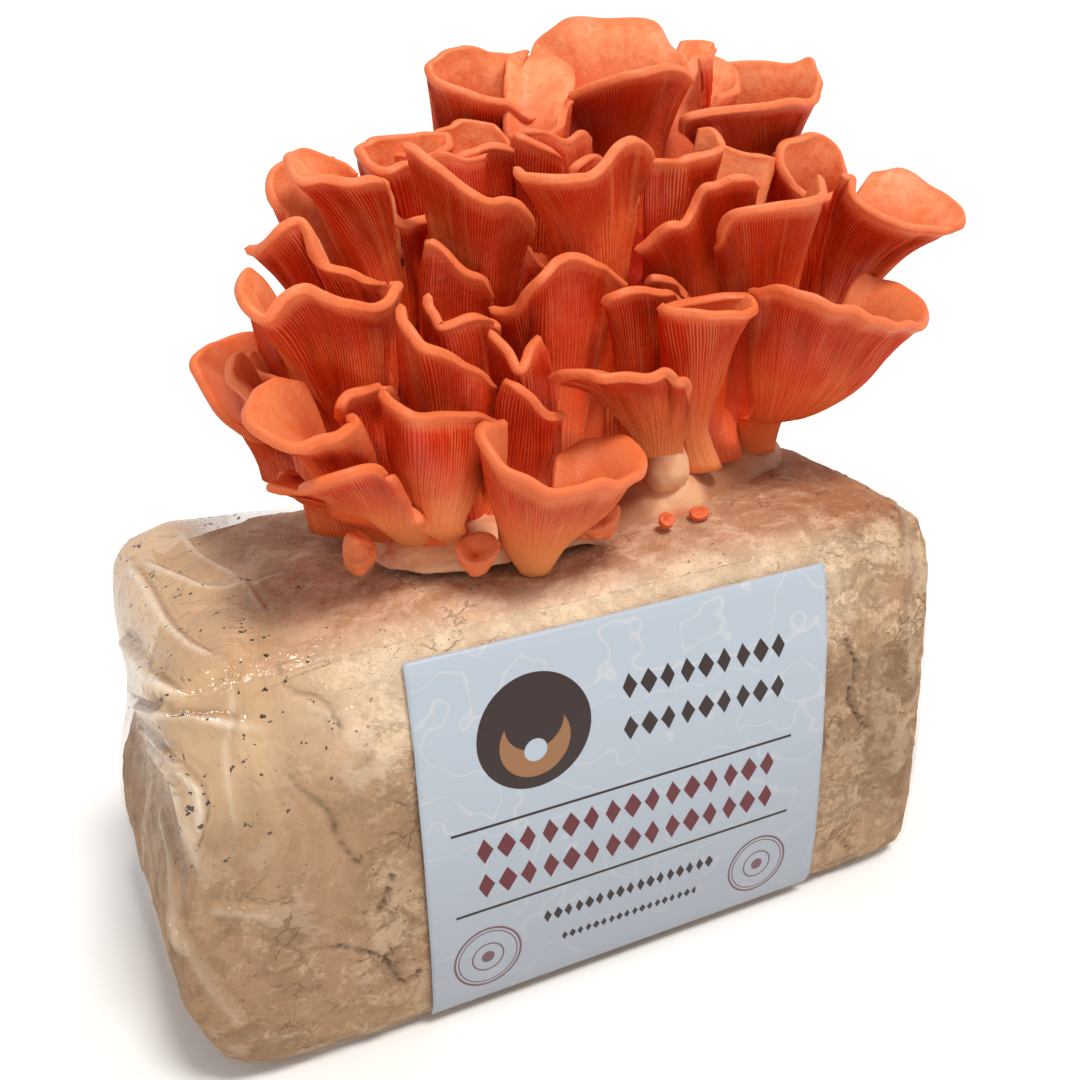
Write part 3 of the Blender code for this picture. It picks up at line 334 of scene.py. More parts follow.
def unit(vectors: np.ndarray) -> np.ndarray:
    """Gives the same vectors with length 1."""
    return vectors / np.maximum(np.linalg.norm(vectors, axis=-1, keepdims=True), 1e-9)


def smoothstep(low: float, high: float, value: np.ndarray) -> np.ndarray:
    """Gives a share that climbs softly from 0 at low to 1 at high."""
    t = np.clip((value - low) / (high - low), 0, 1)
    return t * t * (3 - 2 * t)


def patch(places: np.ndarray, middle: Sequence, reach: Sequence) -> np.ndarray:
    """Gives a share for each place in a flat view, 1 at a middle and less all round it.

    Args:
        places: The places, as rows of two numbers.
        middle: The place where the share is 1.
        reach: How far it reaches each way.

    Returns:
        The shares.
    """
    off = ((places - np.array(middle)) / reach) ** 2
    return np.exp(-off[:, 0] - off[:, 1])


def cubic_weights(share: np.ndarray) -> np.ndarray:
    """Gives the four Catmull-Rom weights for shares of the way from the second point to the third."""
    t = share
    return np.stack([0.5 * (-t + 2 * t**2 - t**3), 0.5 * (2 - 5 * t**2 + 3 * t**3),
                     0.5 * (t + 4 * t**2 - 3 * t**3), 0.5 * (-(t**2) + t**3)])


def resample(field: np.ndarray, places: np.ndarray, closed: bool) -> np.ndarray:
    """Reads a row of values at places between them, along a smooth curve.

    Args:
        field: The values, along the first axis.
        places: Where to read, counted in steps of the field.
        closed: Whether the field goes round.

    Returns:
        The values at the places, along the first axis.
    """
    size = len(field)
    base = np.floor(places).astype(int)
    if not closed:
        base = np.clip(base, 0, size - 2)
    weights = cubic_weights(places - base)
    result = 0
    for k in range(4):
        index = base - 1 + k
        index = index % size if closed else np.clip(index, 0, size - 1)
        result = result + weights[k].reshape(-1, *[1] * (field.ndim - 1)) * field[index]
    return result


class Trumpet:
    """The flare of one cap from its throat to its rim, as an even grid of points."""

    LEAST_TURN = math.radians(150)
    MOST_TURN = math.radians(290)
    SIDE_GAP = math.radians(30)
    SHORTEST_STEM = 8.0
    LAST_CURL = 0.12
    # From this share of the way up the two skins lie back to back
    SETTLED = 0.5

    def __init__(self, cap: Cap, columns: int, rows: int, throat: tuple, full_turn: bool, bend: float = 1.0):
        """Lays out the flare.

        Args:
            cap: The mushroom's own values.
            columns: How many stretches its rim is cut into.
            rows: How many stretches it has from the throat to the rim.
            throat: Half the width and half the depth of the throat.
            full_turn: Whether the two skins of an open cap share the edges of the throat.
            bend: How much later than its solid the cap flares out.
        """
        self.cap = cap
        self.throat_width, self.throat_depth = throat
        rim = np.array(cap.rim, float)
        centre = self.lowered_throat(rim)
        bearings = self.bearings(np.vstack([rim, rim[:1]]) if cap.closed else rim, centre)
        if bearings[-1] < bearings[0]:
            rim = rim[::-1]
        rim = smooth_curve(rim, cap.closed, columns)
        bearings = self.bearings(rim, centre)
        if cap.closed:
            outer_turn = bearings[0] + np.linspace(0, 2 * math.pi, columns, endpoint=False)
            inner_turn = outer_turn
        else:
            middle = (bearings[0] + bearings[-1]) / 2
            span = min(max(bearings[-1] - bearings[0], self.LEAST_TURN), self.MOST_TURN)
            steps = np.linspace(0, 1, len(rim))
            outer_turn = middle + span * (steps - 0.5)
            rest = 2 * math.pi - span - (0.0 if full_turn else self.SIDE_GAP)
            inner_turn = middle + math.pi + rest * (0.5 - steps)
        self.rim = rim
        self.outer_ring = self.ring(outer_turn)
        self.inner_ring = self.ring(inner_turn)
        self.share = np.linspace(0, 1, rows + 1)
        v = self.share[:, None, None]
        reach = (1 - self.LAST_CURL) * v ** (cap.spread * bend) + self.LAST_CURL * v**8
        climb = 1 - (1 - v) ** cap.rise
        start = centre + self.outer_ring
        self.middle = start + (rim - start) * np.concatenate([reach, reach, climb], axis=2)

    def lowered_throat(self, rim: np.ndarray) -> np.ndarray:
        """Gives the throat, lowered towards the root so that the flare reaches far enough down."""
        cap = self.cap
        throat = np.array(cap.throat, float)
        root = np.array([*cap.foot, Bunch.knot_crest])
        if throat[2] > root[2] + self.SHORTEST_STEM:
            lowest = max(rim[:, 2].min() - cap.depth, Bunch.lowest_throat)
            drop = (throat[2] - lowest) / (throat[2] - root[2])
            throat = throat + min(max(drop, 0.0), Bunch.deepest_drop) * (root - throat)
        return throat

    @staticmethod
    def bearings(points: np.ndarray, centre: np.ndarray) -> np.ndarray:
        """Gives the bearings of points about a centre in plan, without jumps."""
        return np.unwrap(np.arctan2(points[:, 1] - centre[1], points[:, 0] - centre[0]))

    def ring(self, turn: np.ndarray) -> np.ndarray:
        """Gives a flattened ring, wide across the bunch and thin from front to back."""
        ring = np.stack([np.cos(turn), np.sin(turn), 0 * turn], axis=1)
        sideways = (ring @ Bunch.across)[..., None] * Bunch.across
        return self.throat_depth * (ring - sideways) + self.throat_width * sideways

    def outward(self) -> np.ndarray:
        """Gives the directions square to the flare, towards its gilled side."""
        middle = self.middle
        if self.cap.closed:
            wide = np.concatenate([middle[:, -1:], middle, middle[:, :1]], axis=1)
            across = np.gradient(wide, axis=1)[:, 1:-1]
        else:
            across = np.gradient(middle, axis=1)
        return unit(np.cross(across, np.gradient(middle, axis=0)))

    def solid_skins(self) -> np.ndarray:
        """Gives the two skins as the solid has them, as an array (skin, row, column)."""
        v = self.share[:, None, None]
        settle = smoothstep(0, self.SETTLED, v)
        half = Bunch.cap_half_thickness * (2 - v) * settle
        other_side = (1 - settle) * (self.inner_ring - self.outer_ring)
        normal = self.outward()
        return np.stack([self.middle + normal * half, self.middle - normal * half + other_side])


def pushes_of_solid(points: np.ndarray, corners: np.ndarray) -> np.ndarray:
    """Reads how far a solid's points lie behind the points of its plain flare.

    Args:
        points: The plain points, as an array (skin, row, column) of places.
        corners: The corners of the solid.

    Returns:
        The distances along the rays from the facing point, as an array (row, column).
    """
    flat = points.reshape(-1, 3)
    offset = flat - Bunch.facing_point
    distance = np.linalg.norm(offset, axis=1)
    corner_offset = corners - Bunch.facing_point
    corner_distance = np.linalg.norm(corner_offset, axis=1)
    nearness = (offset / distance[:, None]) @ (corner_offset / corner_distance[:, None]).T
    best = nearness.argmax(axis=1)
    push = corner_distance[best] - distance
    push[nearness.max(axis=1) < Bunch.same_ray] = np.nan
    push = push.reshape(points.shape[:3])
    return np.nan_to_num(np.nanmax(push, axis=0))


@dataclass
class Mushroom:
    """One mushroom as a closed skin: stem, gills, lip and top side.

    It takes the name of its solid's node, the values and the object of the solid, which is None for a cap
    that has none, what its small irregularities are drawn from, and the distance between gills at the lip.
    """

    name: str
    cap: Cap
    solid: Optional[Piece]
    seed: int
    spacing: float
    flare_rows: int = 48
    body_rows: int = 18
    stem_rows: int = 6
    # An open cap's thickness at its side edges, as shares from the edge inwards
    side_taper: tuple = (0.0, 0.5, 0.78, 0.93)
    # Where the rows of the lip and of the rounded edge lie, as shares of the width of each
    lip_steps: tuple = (1.12, 1.0, 0.85, 0.6, 0.3)
    edge_steps: tuple = (1.0, 0.55, 0.2, 0.05, 0.0)
    edge_radius: float = 0.8
    narrowest_lip: float = 0.4
    same_point: float = 2e-6
    lip_bulge: float = 0.16
    gill_height: float = 0.5
    gill_sway: float = 1.1
    body_lumps: float = 0.9
    lump_size: float = 16.0
    wave_lengths: tuple = (11, 34)
    wave_count: int = 5
    wave_height: float = 0.55
    root_slice: float = 4.0
    fewest_gills: int = 14
    top_share: float = 0.8
    pit_row: int = 4
    pit_depth: float = 3.0
    stem_bow: float = 0.08
    pale_height: float = 30.0

    def __post_init__(self) -> None:
        """Reads the solid that the mushroom stands for."""
        cap = self.cap
        self.random = np.random.default_rng(self.seed)
        plain = Trumpet(cap, cap.columns, cap.rows, Bunch.solid_throat, False)
        if self.solid:
            corners = np.array([v.co for v in self.solid.data.vertices]) / MM
            self.push = pushes_of_solid(plain.solid_skins(), corners)
            low = corners[corners[:, 2] < corners[:, 2].min() + self.root_slice]
            self.root = low.mean(axis=0)
        else:
            self.push = np.zeros(plain.middle.shape[:2])
            self.root = np.array([*cap.foot, min(Bunch.knot_crest, cap.throat[2] - 5)])
        length = np.linalg.norm(np.diff(plain.rim, axis=0), axis=1).sum()
        self.gills = max(self.fewest_gills, int(length / self.spacing))

    def pushed(self) -> tuple:
        """Lays the fine flare where the solid has it.

        Returns:
            The flare, its points, and the directions square to it, with a closed cap's seam doubled.
        """
        cap = self.cap
        columns = 2 * self.gills
        throat = tuple(cap.girth * half for half in Bunch.full_throat)
        flare = Trumpet(cap, columns, self.flare_rows, throat, True, cap.bend)
        if cap.closed:
            places = np.arange(columns) * cap.columns / columns
        else:
            places = np.linspace(0, cap.columns, columns + 1)
        across = resample(self.push.T, places, cap.closed)
        push = resample(across.T, flare.share * cap.rows, False)
        flare.middle = flare.middle + self.ripple(flare)
        flare.middle = flare.middle + unit(flare.middle - Bunch.facing_point) * push[..., None]
        points, normal = flare.middle, flare.outward()
        if cap.closed:
            points = np.concatenate([points, points[:, :1]], axis=1)
            normal = np.concatenate([normal, normal[:, :1]], axis=1)
            flare.outer_ring = np.vstack([flare.outer_ring, flare.outer_ring[:1]])
            flare.inner_ring = np.vstack([flare.inner_ring, flare.inner_ring[:1]])
        return flare, points, normal

    def ripple(self, flare: Trumpet) -> np.ndarray:
        """Gives small waves that grow towards the rim.

        Args:
            flare: The even flare.

        Returns:
            How far each of its points moves.
        """
        size = flare.middle.shape[1]
        length = np.linalg.norm(np.diff(flare.rim, axis=0), axis=1).sum()
        along = np.linspace(0, 1, size, endpoint=not self.cap.closed)
        wave = np.zeros(size)
        for _ in range(self.wave_count):
            turns = max(1, round(length / self.random.uniform(*self.wave_lengths)))
            wave += self.random.uniform(0.2, 0.6) * np.sin(
                2 * math.pi * (turns * along + self.random.uniform(0, 1)))
        rise = flare.share[:, None] ** 2
        lumps = Shaping.waves(flare.middle.reshape(-1, 3) / self.lump_size).reshape(len(rise), size)
        swell = smoothstep(0.05, 0.5, flare.share)[:, None]
        return flare.outward() * (self.wave_height * wave * rise + self.body_lumps * lumps * swell)[..., None]

    def sampled(self, points: np.ndarray, normal: np.ndarray, share: np.ndarray) -> tuple:
        """Reads the flare at set distances below its rim.

        Args:
            points: The flare's points.
            normal: The directions square to it.
            share: Each row's share of the way from the throat to the rim.

        Returns:
            Points, directions, distances from the rim and shares, with one row for each distance, and
            the width of the lip in each column.
        """
        step = np.linalg.norm(np.diff(points, axis=0), axis=2)
        below = np.concatenate([np.cumsum(step[::-1], axis=0)[::-1], np.zeros((1, step.shape[1]))])
        lip = np.minimum(self.cap.lip * self.lip_share(points.shape[1]), 0.4 * below[0].min())
        fall = 1 - np.linspace(0, 1, self.body_rows) ** 0.85
        body = lip * 1.25 + fall[:, None] * (below[0] - lip * 1.25)
        edge = self.edge_radius * np.array(self.edge_steps)
        lip = np.maximum(lip, self.edge_radius + self.narrowest_lip)
        wide = self.edge_radius + (lip - self.edge_radius) * np.array(self.lip_steps)[:, None]
        near = np.concatenate([wide, edge[:, None] * np.ones_like(lip)])
        gaps = np.concatenate([body, near])
        shares = np.broadcast_to(share[:, None, None], (*points.shape[:2], 1))
        packed = np.concatenate([points, normal, shares], axis=2)
        read = np.empty((len(gaps), *packed.shape[1:]))
        for column, channel in np.ndindex(*packed.shape[1:]):
            known, values = below[::-1, column], packed[::-1, column, channel]
            read[:, column, channel] = np.interp(gaps[:, column], known, values)
        return read[..., :3], unit(read[..., 3:6]), gaps, read[..., 6], lip

    def skin_rows(self) -> dict:
        """Lays out the whole skin as rows of points from the root over the rim and back.

        Returns:
            The rows of points, and for each point the values that the finish reads.
        """
        flare, points, normal = self.pushed()
        place, square, gaps, share, lip = self.sampled(points, normal, flare.share)
        rows, columns = gaps.shape
        closed = self.cap.closed
        taper = np.ones(columns)
        if not closed:
            taper[:4] = self.side_taper
            taper[-4:] = self.side_taper[::-1]
        settle = smoothstep(0, Trumpet.SETTLED, share)
        edge = np.sqrt(1 - (1 - np.clip(gaps / self.edge_radius, 0, 1)) ** 2)
        half = Bunch.cap_half_thickness * (2 - share) * settle * edge * taper
        bulge = self.lip_bulge * smoothstep(1.06 * lip, 0.72 * lip, gaps) * edge * taper
        ridge = np.arange(columns) % 2.0
        depth = self.gill_depth(share) * smoothstep(0.9 * lip, lip + 4.5, gaps) * taper * ridge
        other_side = (1 - settle)[..., None] * (flare.inner_ring - flare.outer_ring)
        sway = self.gill_sway * (ridge * self.random.uniform(-0.5, 0.5, (rows // 3 + 2, columns)))
        sway = resample(sway, np.linspace(0, len(sway) - 1, rows), False) * taper
        along = np.gradient(place, axis=1)
        outer = place + square * (half + bulge + depth)[..., None] + along * sway[..., None]
        inner = place - square * half[..., None] + (0 if closed else other_side)
        streak = self.streaks(rows, columns)
        centre = place[0].mean(axis=0) + (0 if closed else other_side[0].mean(axis=0) / 2)
        stem = self.stem(centre, outer[0] - centre)
        if closed:
            last = np.tile(inner[self.pit_row].mean(axis=0) - (0, 0, self.pit_depth), (1, columns, 1))
        else:
            last = self.stem(centre, inner[0] - centre)[::-1]
        back = slice(rows - 2, self.pit_row if closed else None, -1)
        result = {"point": np.concatenate([stem, outer, inner[back], last])}
        for name, values in (("ridge", np.tile(ridge, (rows, 1))), ("streak", streak), ("gap", gaps)):
            ends = np.tile(values[0], (len(stem), 1)), np.tile(values[back][-1], (len(last), 1))
            result[name] = np.concatenate([ends[0], values, values[back], ends[1]])
        result["top"] = np.concatenate([
            np.zeros((len(stem), columns)), self.top_share * smoothstep(lip * 1.8, lip * 0.55, gaps),
            np.ones_like(gaps[back]), np.zeros((len(last), columns))])
        return result

    def lip_share(self, columns: int) -> np.ndarray:
        """Gives how wide the lip is along the rim, as a share of its usual width."""
        waves = self.random.uniform(0, 1, 7)
        waves[-1] = waves[0]
        return 0.8 + 0.5 * resample(waves, np.linspace(0, 6, columns), False)

    def gill_depth(self, share: np.ndarray) -> np.ndarray:
        """Gives how far each gill stands out: only some of them reach all the way down."""
        columns = share.shape[1]
        number = np.arange(columns) // 2
        starts = np.select([number % 4 == 0, number % 2 == 0], [-1.0, 0.2], 0.42)
        starts = starts + self.random.uniform(-0.12, 0.12, columns)
        reach = smoothstep(0, 1, np.clip((share - starts) / 0.25, 0, 1))
        height = self.gill_height * self.random.uniform(0.75, 1.15, columns)
        return height * reach * (0.35 + 0.65 * share**0.5)

    def streaks(self, rows: int, columns: int) -> np.ndarray:
        """Gives a brightness for each point that varies along the gills and from one to the next."""
        knots = self.random.normal(0, 1, (5, columns // 2 + 1))
        for _ in range(2):
            knots = 0.5 * knots + 0.25 * (np.roll(knots, 1, axis=1) + np.roll(knots, -1, axis=1))
        slow = resample(self.random.normal(0, 1, 9), np.linspace(0, 8, columns // 2 + 1), False)
        knots = np.repeat(1.6 * knots + 0.6 * slow, 2, axis=1)[:, :columns]
        return resample(knots, np.linspace(0, 4, rows), False)

    def stem(self, centre: np.ndarray, ring: np.ndarray) -> np.ndarray:
        """Gives rows of points from under the root up to just below the flare.

        Args:
            centre: The middle of the throat.
            ring: The throat's outline about its middle.

        Returns:
            The rows from the root's centre upwards.
        """
        root = self.root - (0, 0, self.cap.sink)
        rows = [np.tile(root - (0, 0, 2.0), (len(ring), 1))]
        for share in np.linspace(0, 1, self.stem_rows + 1)[:-1]:
            bow = math.sin(math.pi * share) * self.stem_bow * np.linalg.norm(centre - root)
            spot = root + (centre - root) * share + np.array([0, 0.5 * bow, 0])
            width = self.cap.foot_share + (1 - self.cap.foot_share) * share
            rows.append(spot + ring * width)
        return np.array(rows)

    def build(self) -> Piece:
        """Makes the mushroom's object from a grid that is wrapped round the skin."""
        rows = self.skin_rows()
        high, wide = rows["point"].shape[:2]
        bpy.ops.mesh.primitive_grid_add(x_subdivisions=wide - 1, y_subdivisions=high - 1, size=2)
        piece = Shaping.started(self.name + "_flesh")
        flat = Shaping.places(piece) * MM
        column = np.rint((flat[:, 0] + 1) / 2 * (wide - 1)).astype(int)
        row = np.rint((flat[:, 1] + 1) / 2 * (high - 1)).astype(int)
        Shaping.move_to(piece, rows["point"][row, column])
        foot = np.clip((rows["point"][..., 2] - self.root[2]) / self.pale_height, 0, 1)
        rows["pale"] = self.cap.pale * (1 - foot)
        layers = ("ridge", "streak", "top", "gap", "pale")
        Shaping.mark(piece, **{name: rows[name][row, column] for name in layers})
        Shaping.weld(piece, self.same_point)
        Shaping.face_outwards(piece)
        return piece


class Shaping:
    """Small mesh jobs that several pieces need."""

    @staticmethod
    def started(name: str) -> Piece:
        """Names the primitive that was added last."""
        piece = bpy.context.object
        piece.name = piece.data.name = name
        return piece

    @staticmethod
    @contextmanager
    def opened(piece: Piece) -> Iterator[bmesh.types.BMesh]:
        """Opens a piece's mesh for editing, and writes it back afterwards."""
        form = bmesh.new()
        form.from_mesh(piece.data)
        yield form
        form.to_mesh(piece.data)
        form.free()

    @staticmethod
    def weld(piece: Piece, distance: float) -> None:
        """Merges the points of a piece that lie within metres of each other, and drops faces without area."""
        with Shaping.opened(piece) as form:
            bmesh.ops.remove_doubles(form, verts=form.verts, dist=distance)
            bmesh.ops.dissolve_degenerate(form, edges=form.edges, dist=1e-7)

    @staticmethod
    def face_outwards(piece: Piece) -> None:
        """Turns a closed piece's faces outwards."""
        with Shaping.opened(piece) as form:
            if form.calc_volume(signed=True) < 0:
                bmesh.ops.reverse_faces(form, faces=form.faces)

    @staticmethod
    def modify(piece: Piece, kind: str, **settings: float) -> None:
        """Adds a modifier to the active piece and applies it.

        Args:
            piece: The piece.
            kind: The modifier's type.
            settings: Its values.
        """
        modifier = piece.modifiers.new("shape", kind)
        for name, value in settings.items():
            setattr(modifier, name, value)
        bpy.ops.object.modifier_apply(modifier="shape")

    @staticmethod
    def read(piece: Piece, name: str) -> np.ndarray:
        """Gives one of the values of each point, a place or a direction."""
        flat = np.empty(len(piece.data.vertices) * 3)
        piece.data.vertices.foreach_get(name, flat)
        return flat.reshape(-1, 3)

    @staticmethod
    def places(piece: Piece) -> np.ndarray:
        """Gives the points of a piece in millimetres."""
        return Shaping.read(piece, "co") / MM

    @staticmethod
    def directions(piece: Piece) -> np.ndarray:
        """Gives the direction square to the surface at each point of a piece."""
        return Shaping.read(piece, "normal")

    @staticmethod
    def move_to(piece: Piece, points: np.ndarray) -> None:
        """Puts the points of a piece at new places, given in millimetres."""
        piece.data.vertices.foreach_set("co", (points * MM).ravel())
        piece.data.update()

    @staticmethod
    def mark(piece: Piece, **layers: np.ndarray) -> None:
        """Stores named values, one for each point or one for all, for the piece's finish to read."""
        for name, values in layers.items():
            layer = piece.data.attributes.new(name, "FLOAT", "POINT")
            layer.data.foreach_set("value", np.broadcast_to(values, len(piece.data.vertices)).astype(float))

    @staticmethod
    def surface(piece: Piece, points: Optional[Sequence] = None) -> BVHTree:
        """Gives a piece's faces to cast rays at, with its own points or with others, in millimetres."""
        if points is None:
            points = [v.co / MM for v in piece.data.vertices]
        faces = [tuple(p.vertices) for p in piece.data.polygons]
        return BVHTree.FromPolygons([Vector(p) for p in points], faces)

    @staticmethod
    def waves(points: np.ndarray, scale: float = 1.0, shift: Sequence = (0, 0, 0)) -> np.ndarray:
        """Gives a soft noise value for each point, once it is scaled and shifted."""
        return np.array([noise.noise(Vector(p) * scale + Vector(shift)) for p in points])

    @staticmethod
    def lumps(points: np.ndarray, size: float, rough: float, octaves: int,
              shift: Sequence = (0, 0, 0)) -> np.ndarray:
        """Gives a noise value of several octaves for each point, with lumps about a size across."""
        places = [Vector(p) / size + Vector(shift) for p in points]
        return np.array([noise.fractal(place, rough, 2.0, octaves) for place in places])


def hand_over(piece: Piece, slot: Slot, finish: Finish, *nodes: str) -> None:
    """Args:
        piece: The piece.
        slot: The slot for its finish; not used.
        finish: Its material.
        nodes: The solids that it stands for.
    """
    piece.data.shade_smooth()
    piece.data.materials.clear()
    piece.data.materials.append(finish)
    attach(piece, BODY)
    if nodes:
        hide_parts(*nodes)
    log.info("%s: %d triangles", piece.name, sum(len(p.vertices) - 2 for p in piece.data.polygons))


@dataclass
class Bunch:
    """All the mushrooms, each in the place of its solid."""

    nodes: dict
    knot_crest: float = 137.0
    lowest_throat: float = 148.0
    deepest_drop: float = 0.7
    solid_throat: tuple = (7.0, 1.8)
    full_throat: tuple = (7.0, 4.2)
    cap_half_thickness: float = 1.3
    across: tuple = (0.89, -0.45, 0.0)
    facing_point: tuple = (-138.0, -313.0, 271.0)
    same_ray: float = 1 - 1e-9
    gill_spacing: float = 0.85
    back_gill_spacing: float = 1.7
    filler_seed: int = 100

    def build(self, finish: Finish) -> None:
        """Makes every mushroom."""
        caps = list(FRONT_CAPS) + [cap.as_cap() for cap in BACK_CAPS]
        for number, cap in enumerate(caps, start=1):
            name = f"mushroom_{number:02d}"
            spacing = self.gill_spacing if number <= len(FRONT_CAPS) else self.back_gill_spacing
            piece = Mushroom(name, cap, self.nodes[name], number, spacing).build()
            hand_over(piece, Slot.FLESH, finish, name)
        for number, cap in enumerate(FILLER_CAPS, start=1):
            seed = self.filler_seed + number
            piece = Mushroom(f"inner_{number:02d}", cap, None, seed, self.gill_spacing).build()
            hand_over(piece, Slot.FLESH, finish)


class Sketch:
    """A shorthand for writing one material's node tree."""

    EDGE = 0.1

    def __init__(self, name: str):
        """Starts a material with an empty tree."""
        self.material = bpy.data.materials.new(name)
        self.material.use_nodes = True
        self.tree = self.material.node_tree
        self.tree.nodes.clear()

    def node(self, kind: str, inputs: Optional[dict] = None, **settings: str) -> bpy.types.Node:
        """Adds one node.

        Args:
            kind: The node's type, without its first words.
            inputs: Values or sockets for its inputs, by name or number.
            settings: The node's own settings.

        Returns:
            The node.
        """
        made = self.tree.nodes.new("ShaderNode" + kind)
        for key, value in settings.items():
            setattr(made, key, value)
        for key, value in (inputs or {}).items():
            if isinstance(value, Socket):
                self.tree.links.new(value, made.inputs[key])
            else:
                made.inputs[key].default_value = value
        return made

    def read(self, *names: str) -> list:
        """Gives values that are stored on the mesh."""
        return [self.node("Attribute", attribute_name=name, attribute_type="GEOMETRY").outputs["Fac"]
                for name in names]

    def place(self, scale: Sequence = (1, 1, 1), turn: Sequence = (0, 0, 0)) -> Socket:
        """Gives the place on the object, scaled and turned."""
        where = self.node("TexCoord").outputs["Object"]
        return self.node("Mapping", {"Vector": where, "Scale": scale, "Rotation": turn}).outputs[0]

    def axes(self) -> Sequence:
        """Gives the place on the object as three values."""
        return self.node("SeparateXYZ", {0: self.place()}).outputs

    def math(self, operation: str, *values: Amount) -> Socket:
        """Gives the result of a sum on values or sockets."""
        return self.node("Math", dict(enumerate(values)), operation=operation).outputs[0]

    def times(self, first: Amount, second: Amount) -> Socket:
        """Gives the product of two values."""
        return self.math("MULTIPLY", first, second)

    def plus(self, first: Amount, *others: Amount) -> Socket:
        """Gives the sum of some values."""
        for other in others:
            first = self.math("ADD", first, other)
        return first

    def apart(self, first: Amount, second: Amount) -> Socket:
        """Gives how far two values lie apart."""
        return self.math("ABSOLUTE", self.math("SUBTRACT", first, second))

    def span(self, value: Amount, low: float, high: float, to_low: float = 0.0,
             to_high: float = 1.0) -> Socket:
        """Maps a value from one span to another, with soft ends."""
        return self.node("MapRange", {"Value": value, "From Min": low, "From Max": high, "To Min": to_low,
                                      "To Max": to_high}, interpolation_type="SMOOTHSTEP").outputs[0]

    def mix(self, share: Amount, low: Colour, high: Colour) -> Socket:
        """Blends two colours."""
        ends = {6: low, 7: high}
        ends = {key: end if isinstance(end, Socket) else (*end, 1.0) for key, end in ends.items()}
        return self.node("Mix", {0: share, **ends}, data_type="RGBA").outputs[2]

    def layered(self, base: Colour, *coats: tuple) -> Colour:
        """Lays colours over a base, one after another.

        Args:
            base: The colour at the bottom.
            coats: Pairs of a share and the colour that it lays on.

        Returns:
            The blended colour.
        """
        for share, colour in coats:
            base = self.mix(share, base, colour)
        return base

    def cloud(self, size: float, detail: float = 4.0, rough: float = 0.6, where: Optional[Socket] = None,
              bend: float = 0.0) -> Socket:
        """Gives a soft noise value whose lumps are about a size across, in metres."""
        return self.node("TexNoise", {"Vector": where or self.place(), "Scale": 1 / size, "Detail": detail,
                                      "Roughness": rough, "Distortion": bend}).outputs["Fac"]

    def inside(self, value: Amount, half: float) -> Socket:
        """Gives 1 below a measure on the label's face and 0 above it, with a soft edge."""
        return self.span(value, half - self.EDGE, half + self.EDGE, 1.0, 0.0)

    def disc(self, u: Socket, v: Socket, x: float, z: float, radius: float) -> Socket:
        """Gives 1 inside a circle on the label's face, in its millimetres."""
        if radius <= 0:
            return self.times(u, 0.0)
        squares = [self.math("POWER", self.apart(*pair), 2.0) for pair in ((u, x), (v, z))]
        return self.inside(self.math("SQRT", self.plus(*squares)), radius)

    def bar(self, u: Socket, v: Socket, left: float, right: float, low: float, high: float) -> Socket:
        """Gives 1 inside an upright rectangle on the label's face."""
        return self.times(*(self.inside(self.apart(value, (start + end) / 2), (end - start) / 2)
                            for value, start, end in ((u, left, right), (v, low, high))))

    def lozenges(self, u: Socket, v: Socket, left: float, right: float, middle: float, tall: float,
                 pitch: float) -> Socket:
        """Gives 1 inside the lozenges of one row, whose widths take turns."""
        steps = self.math("DIVIDE", self.math("SUBTRACT", u, left), pitch)
        part = self.apart(self.math("FRACT", steps), 0.5)
        turns = self.apart(self.math("FRACT", self.math("DIVIDE", steps, 3.0)), 0.5)
        height = self.math("DIVIDE", self.apart(v, middle), tall)
        size = self.plus(self.times(part, self.plus(0.95, turns)), height)
        return self.times(self.span(size, 0.46, 0.5, 1.0, 0.0),
                          self.bar(u, v, left, right, middle - tall, middle + tall))

    def bump(self, height: Socket, distance: float, strength: float = 1.0,
             below: Optional[Socket] = None) -> Socket:
        """Gives a surface direction that a height field tilts."""
        inputs = {"Height": height, "Distance": distance, "Strength": strength}
        if below:
            inputs["Normal"] = below
        return self.node("Bump", inputs).outputs[0]

    def finish(self, colour: Colour, rough: float, **inputs: Amount) -> Finish:
        """Closes the tree with a Principled shader.

        Args:
            colour: Its base colour.
            rough: Its roughness.
            inputs: Its alpha, its normal and its shine, where they are not the usual ones.

        Returns:
            The material.
        """
        names = {"alpha": "Alpha", "normal": "Normal", "shine": "Specular IOR Level"}
        values = {names[key]: value for key, value in inputs.items()}
        shader = self.node("BsdfPrincipled", {"Base Color": colour, "Roughness": rough, **values})
        self.node("OutputMaterial", {0: shader.outputs[0]})
        return self.material


def linear(red: int, green: int, blue: int) -> tuple:
    """Gives a colour in linear light from its screen values, 0 to 255."""
    screen = [value / 255 for value in (red, green, blue)]
    return tuple(((c + 0.055) / 1.055) ** 2.4 if c > 0.04045 else c / 12.92 for c in screen)


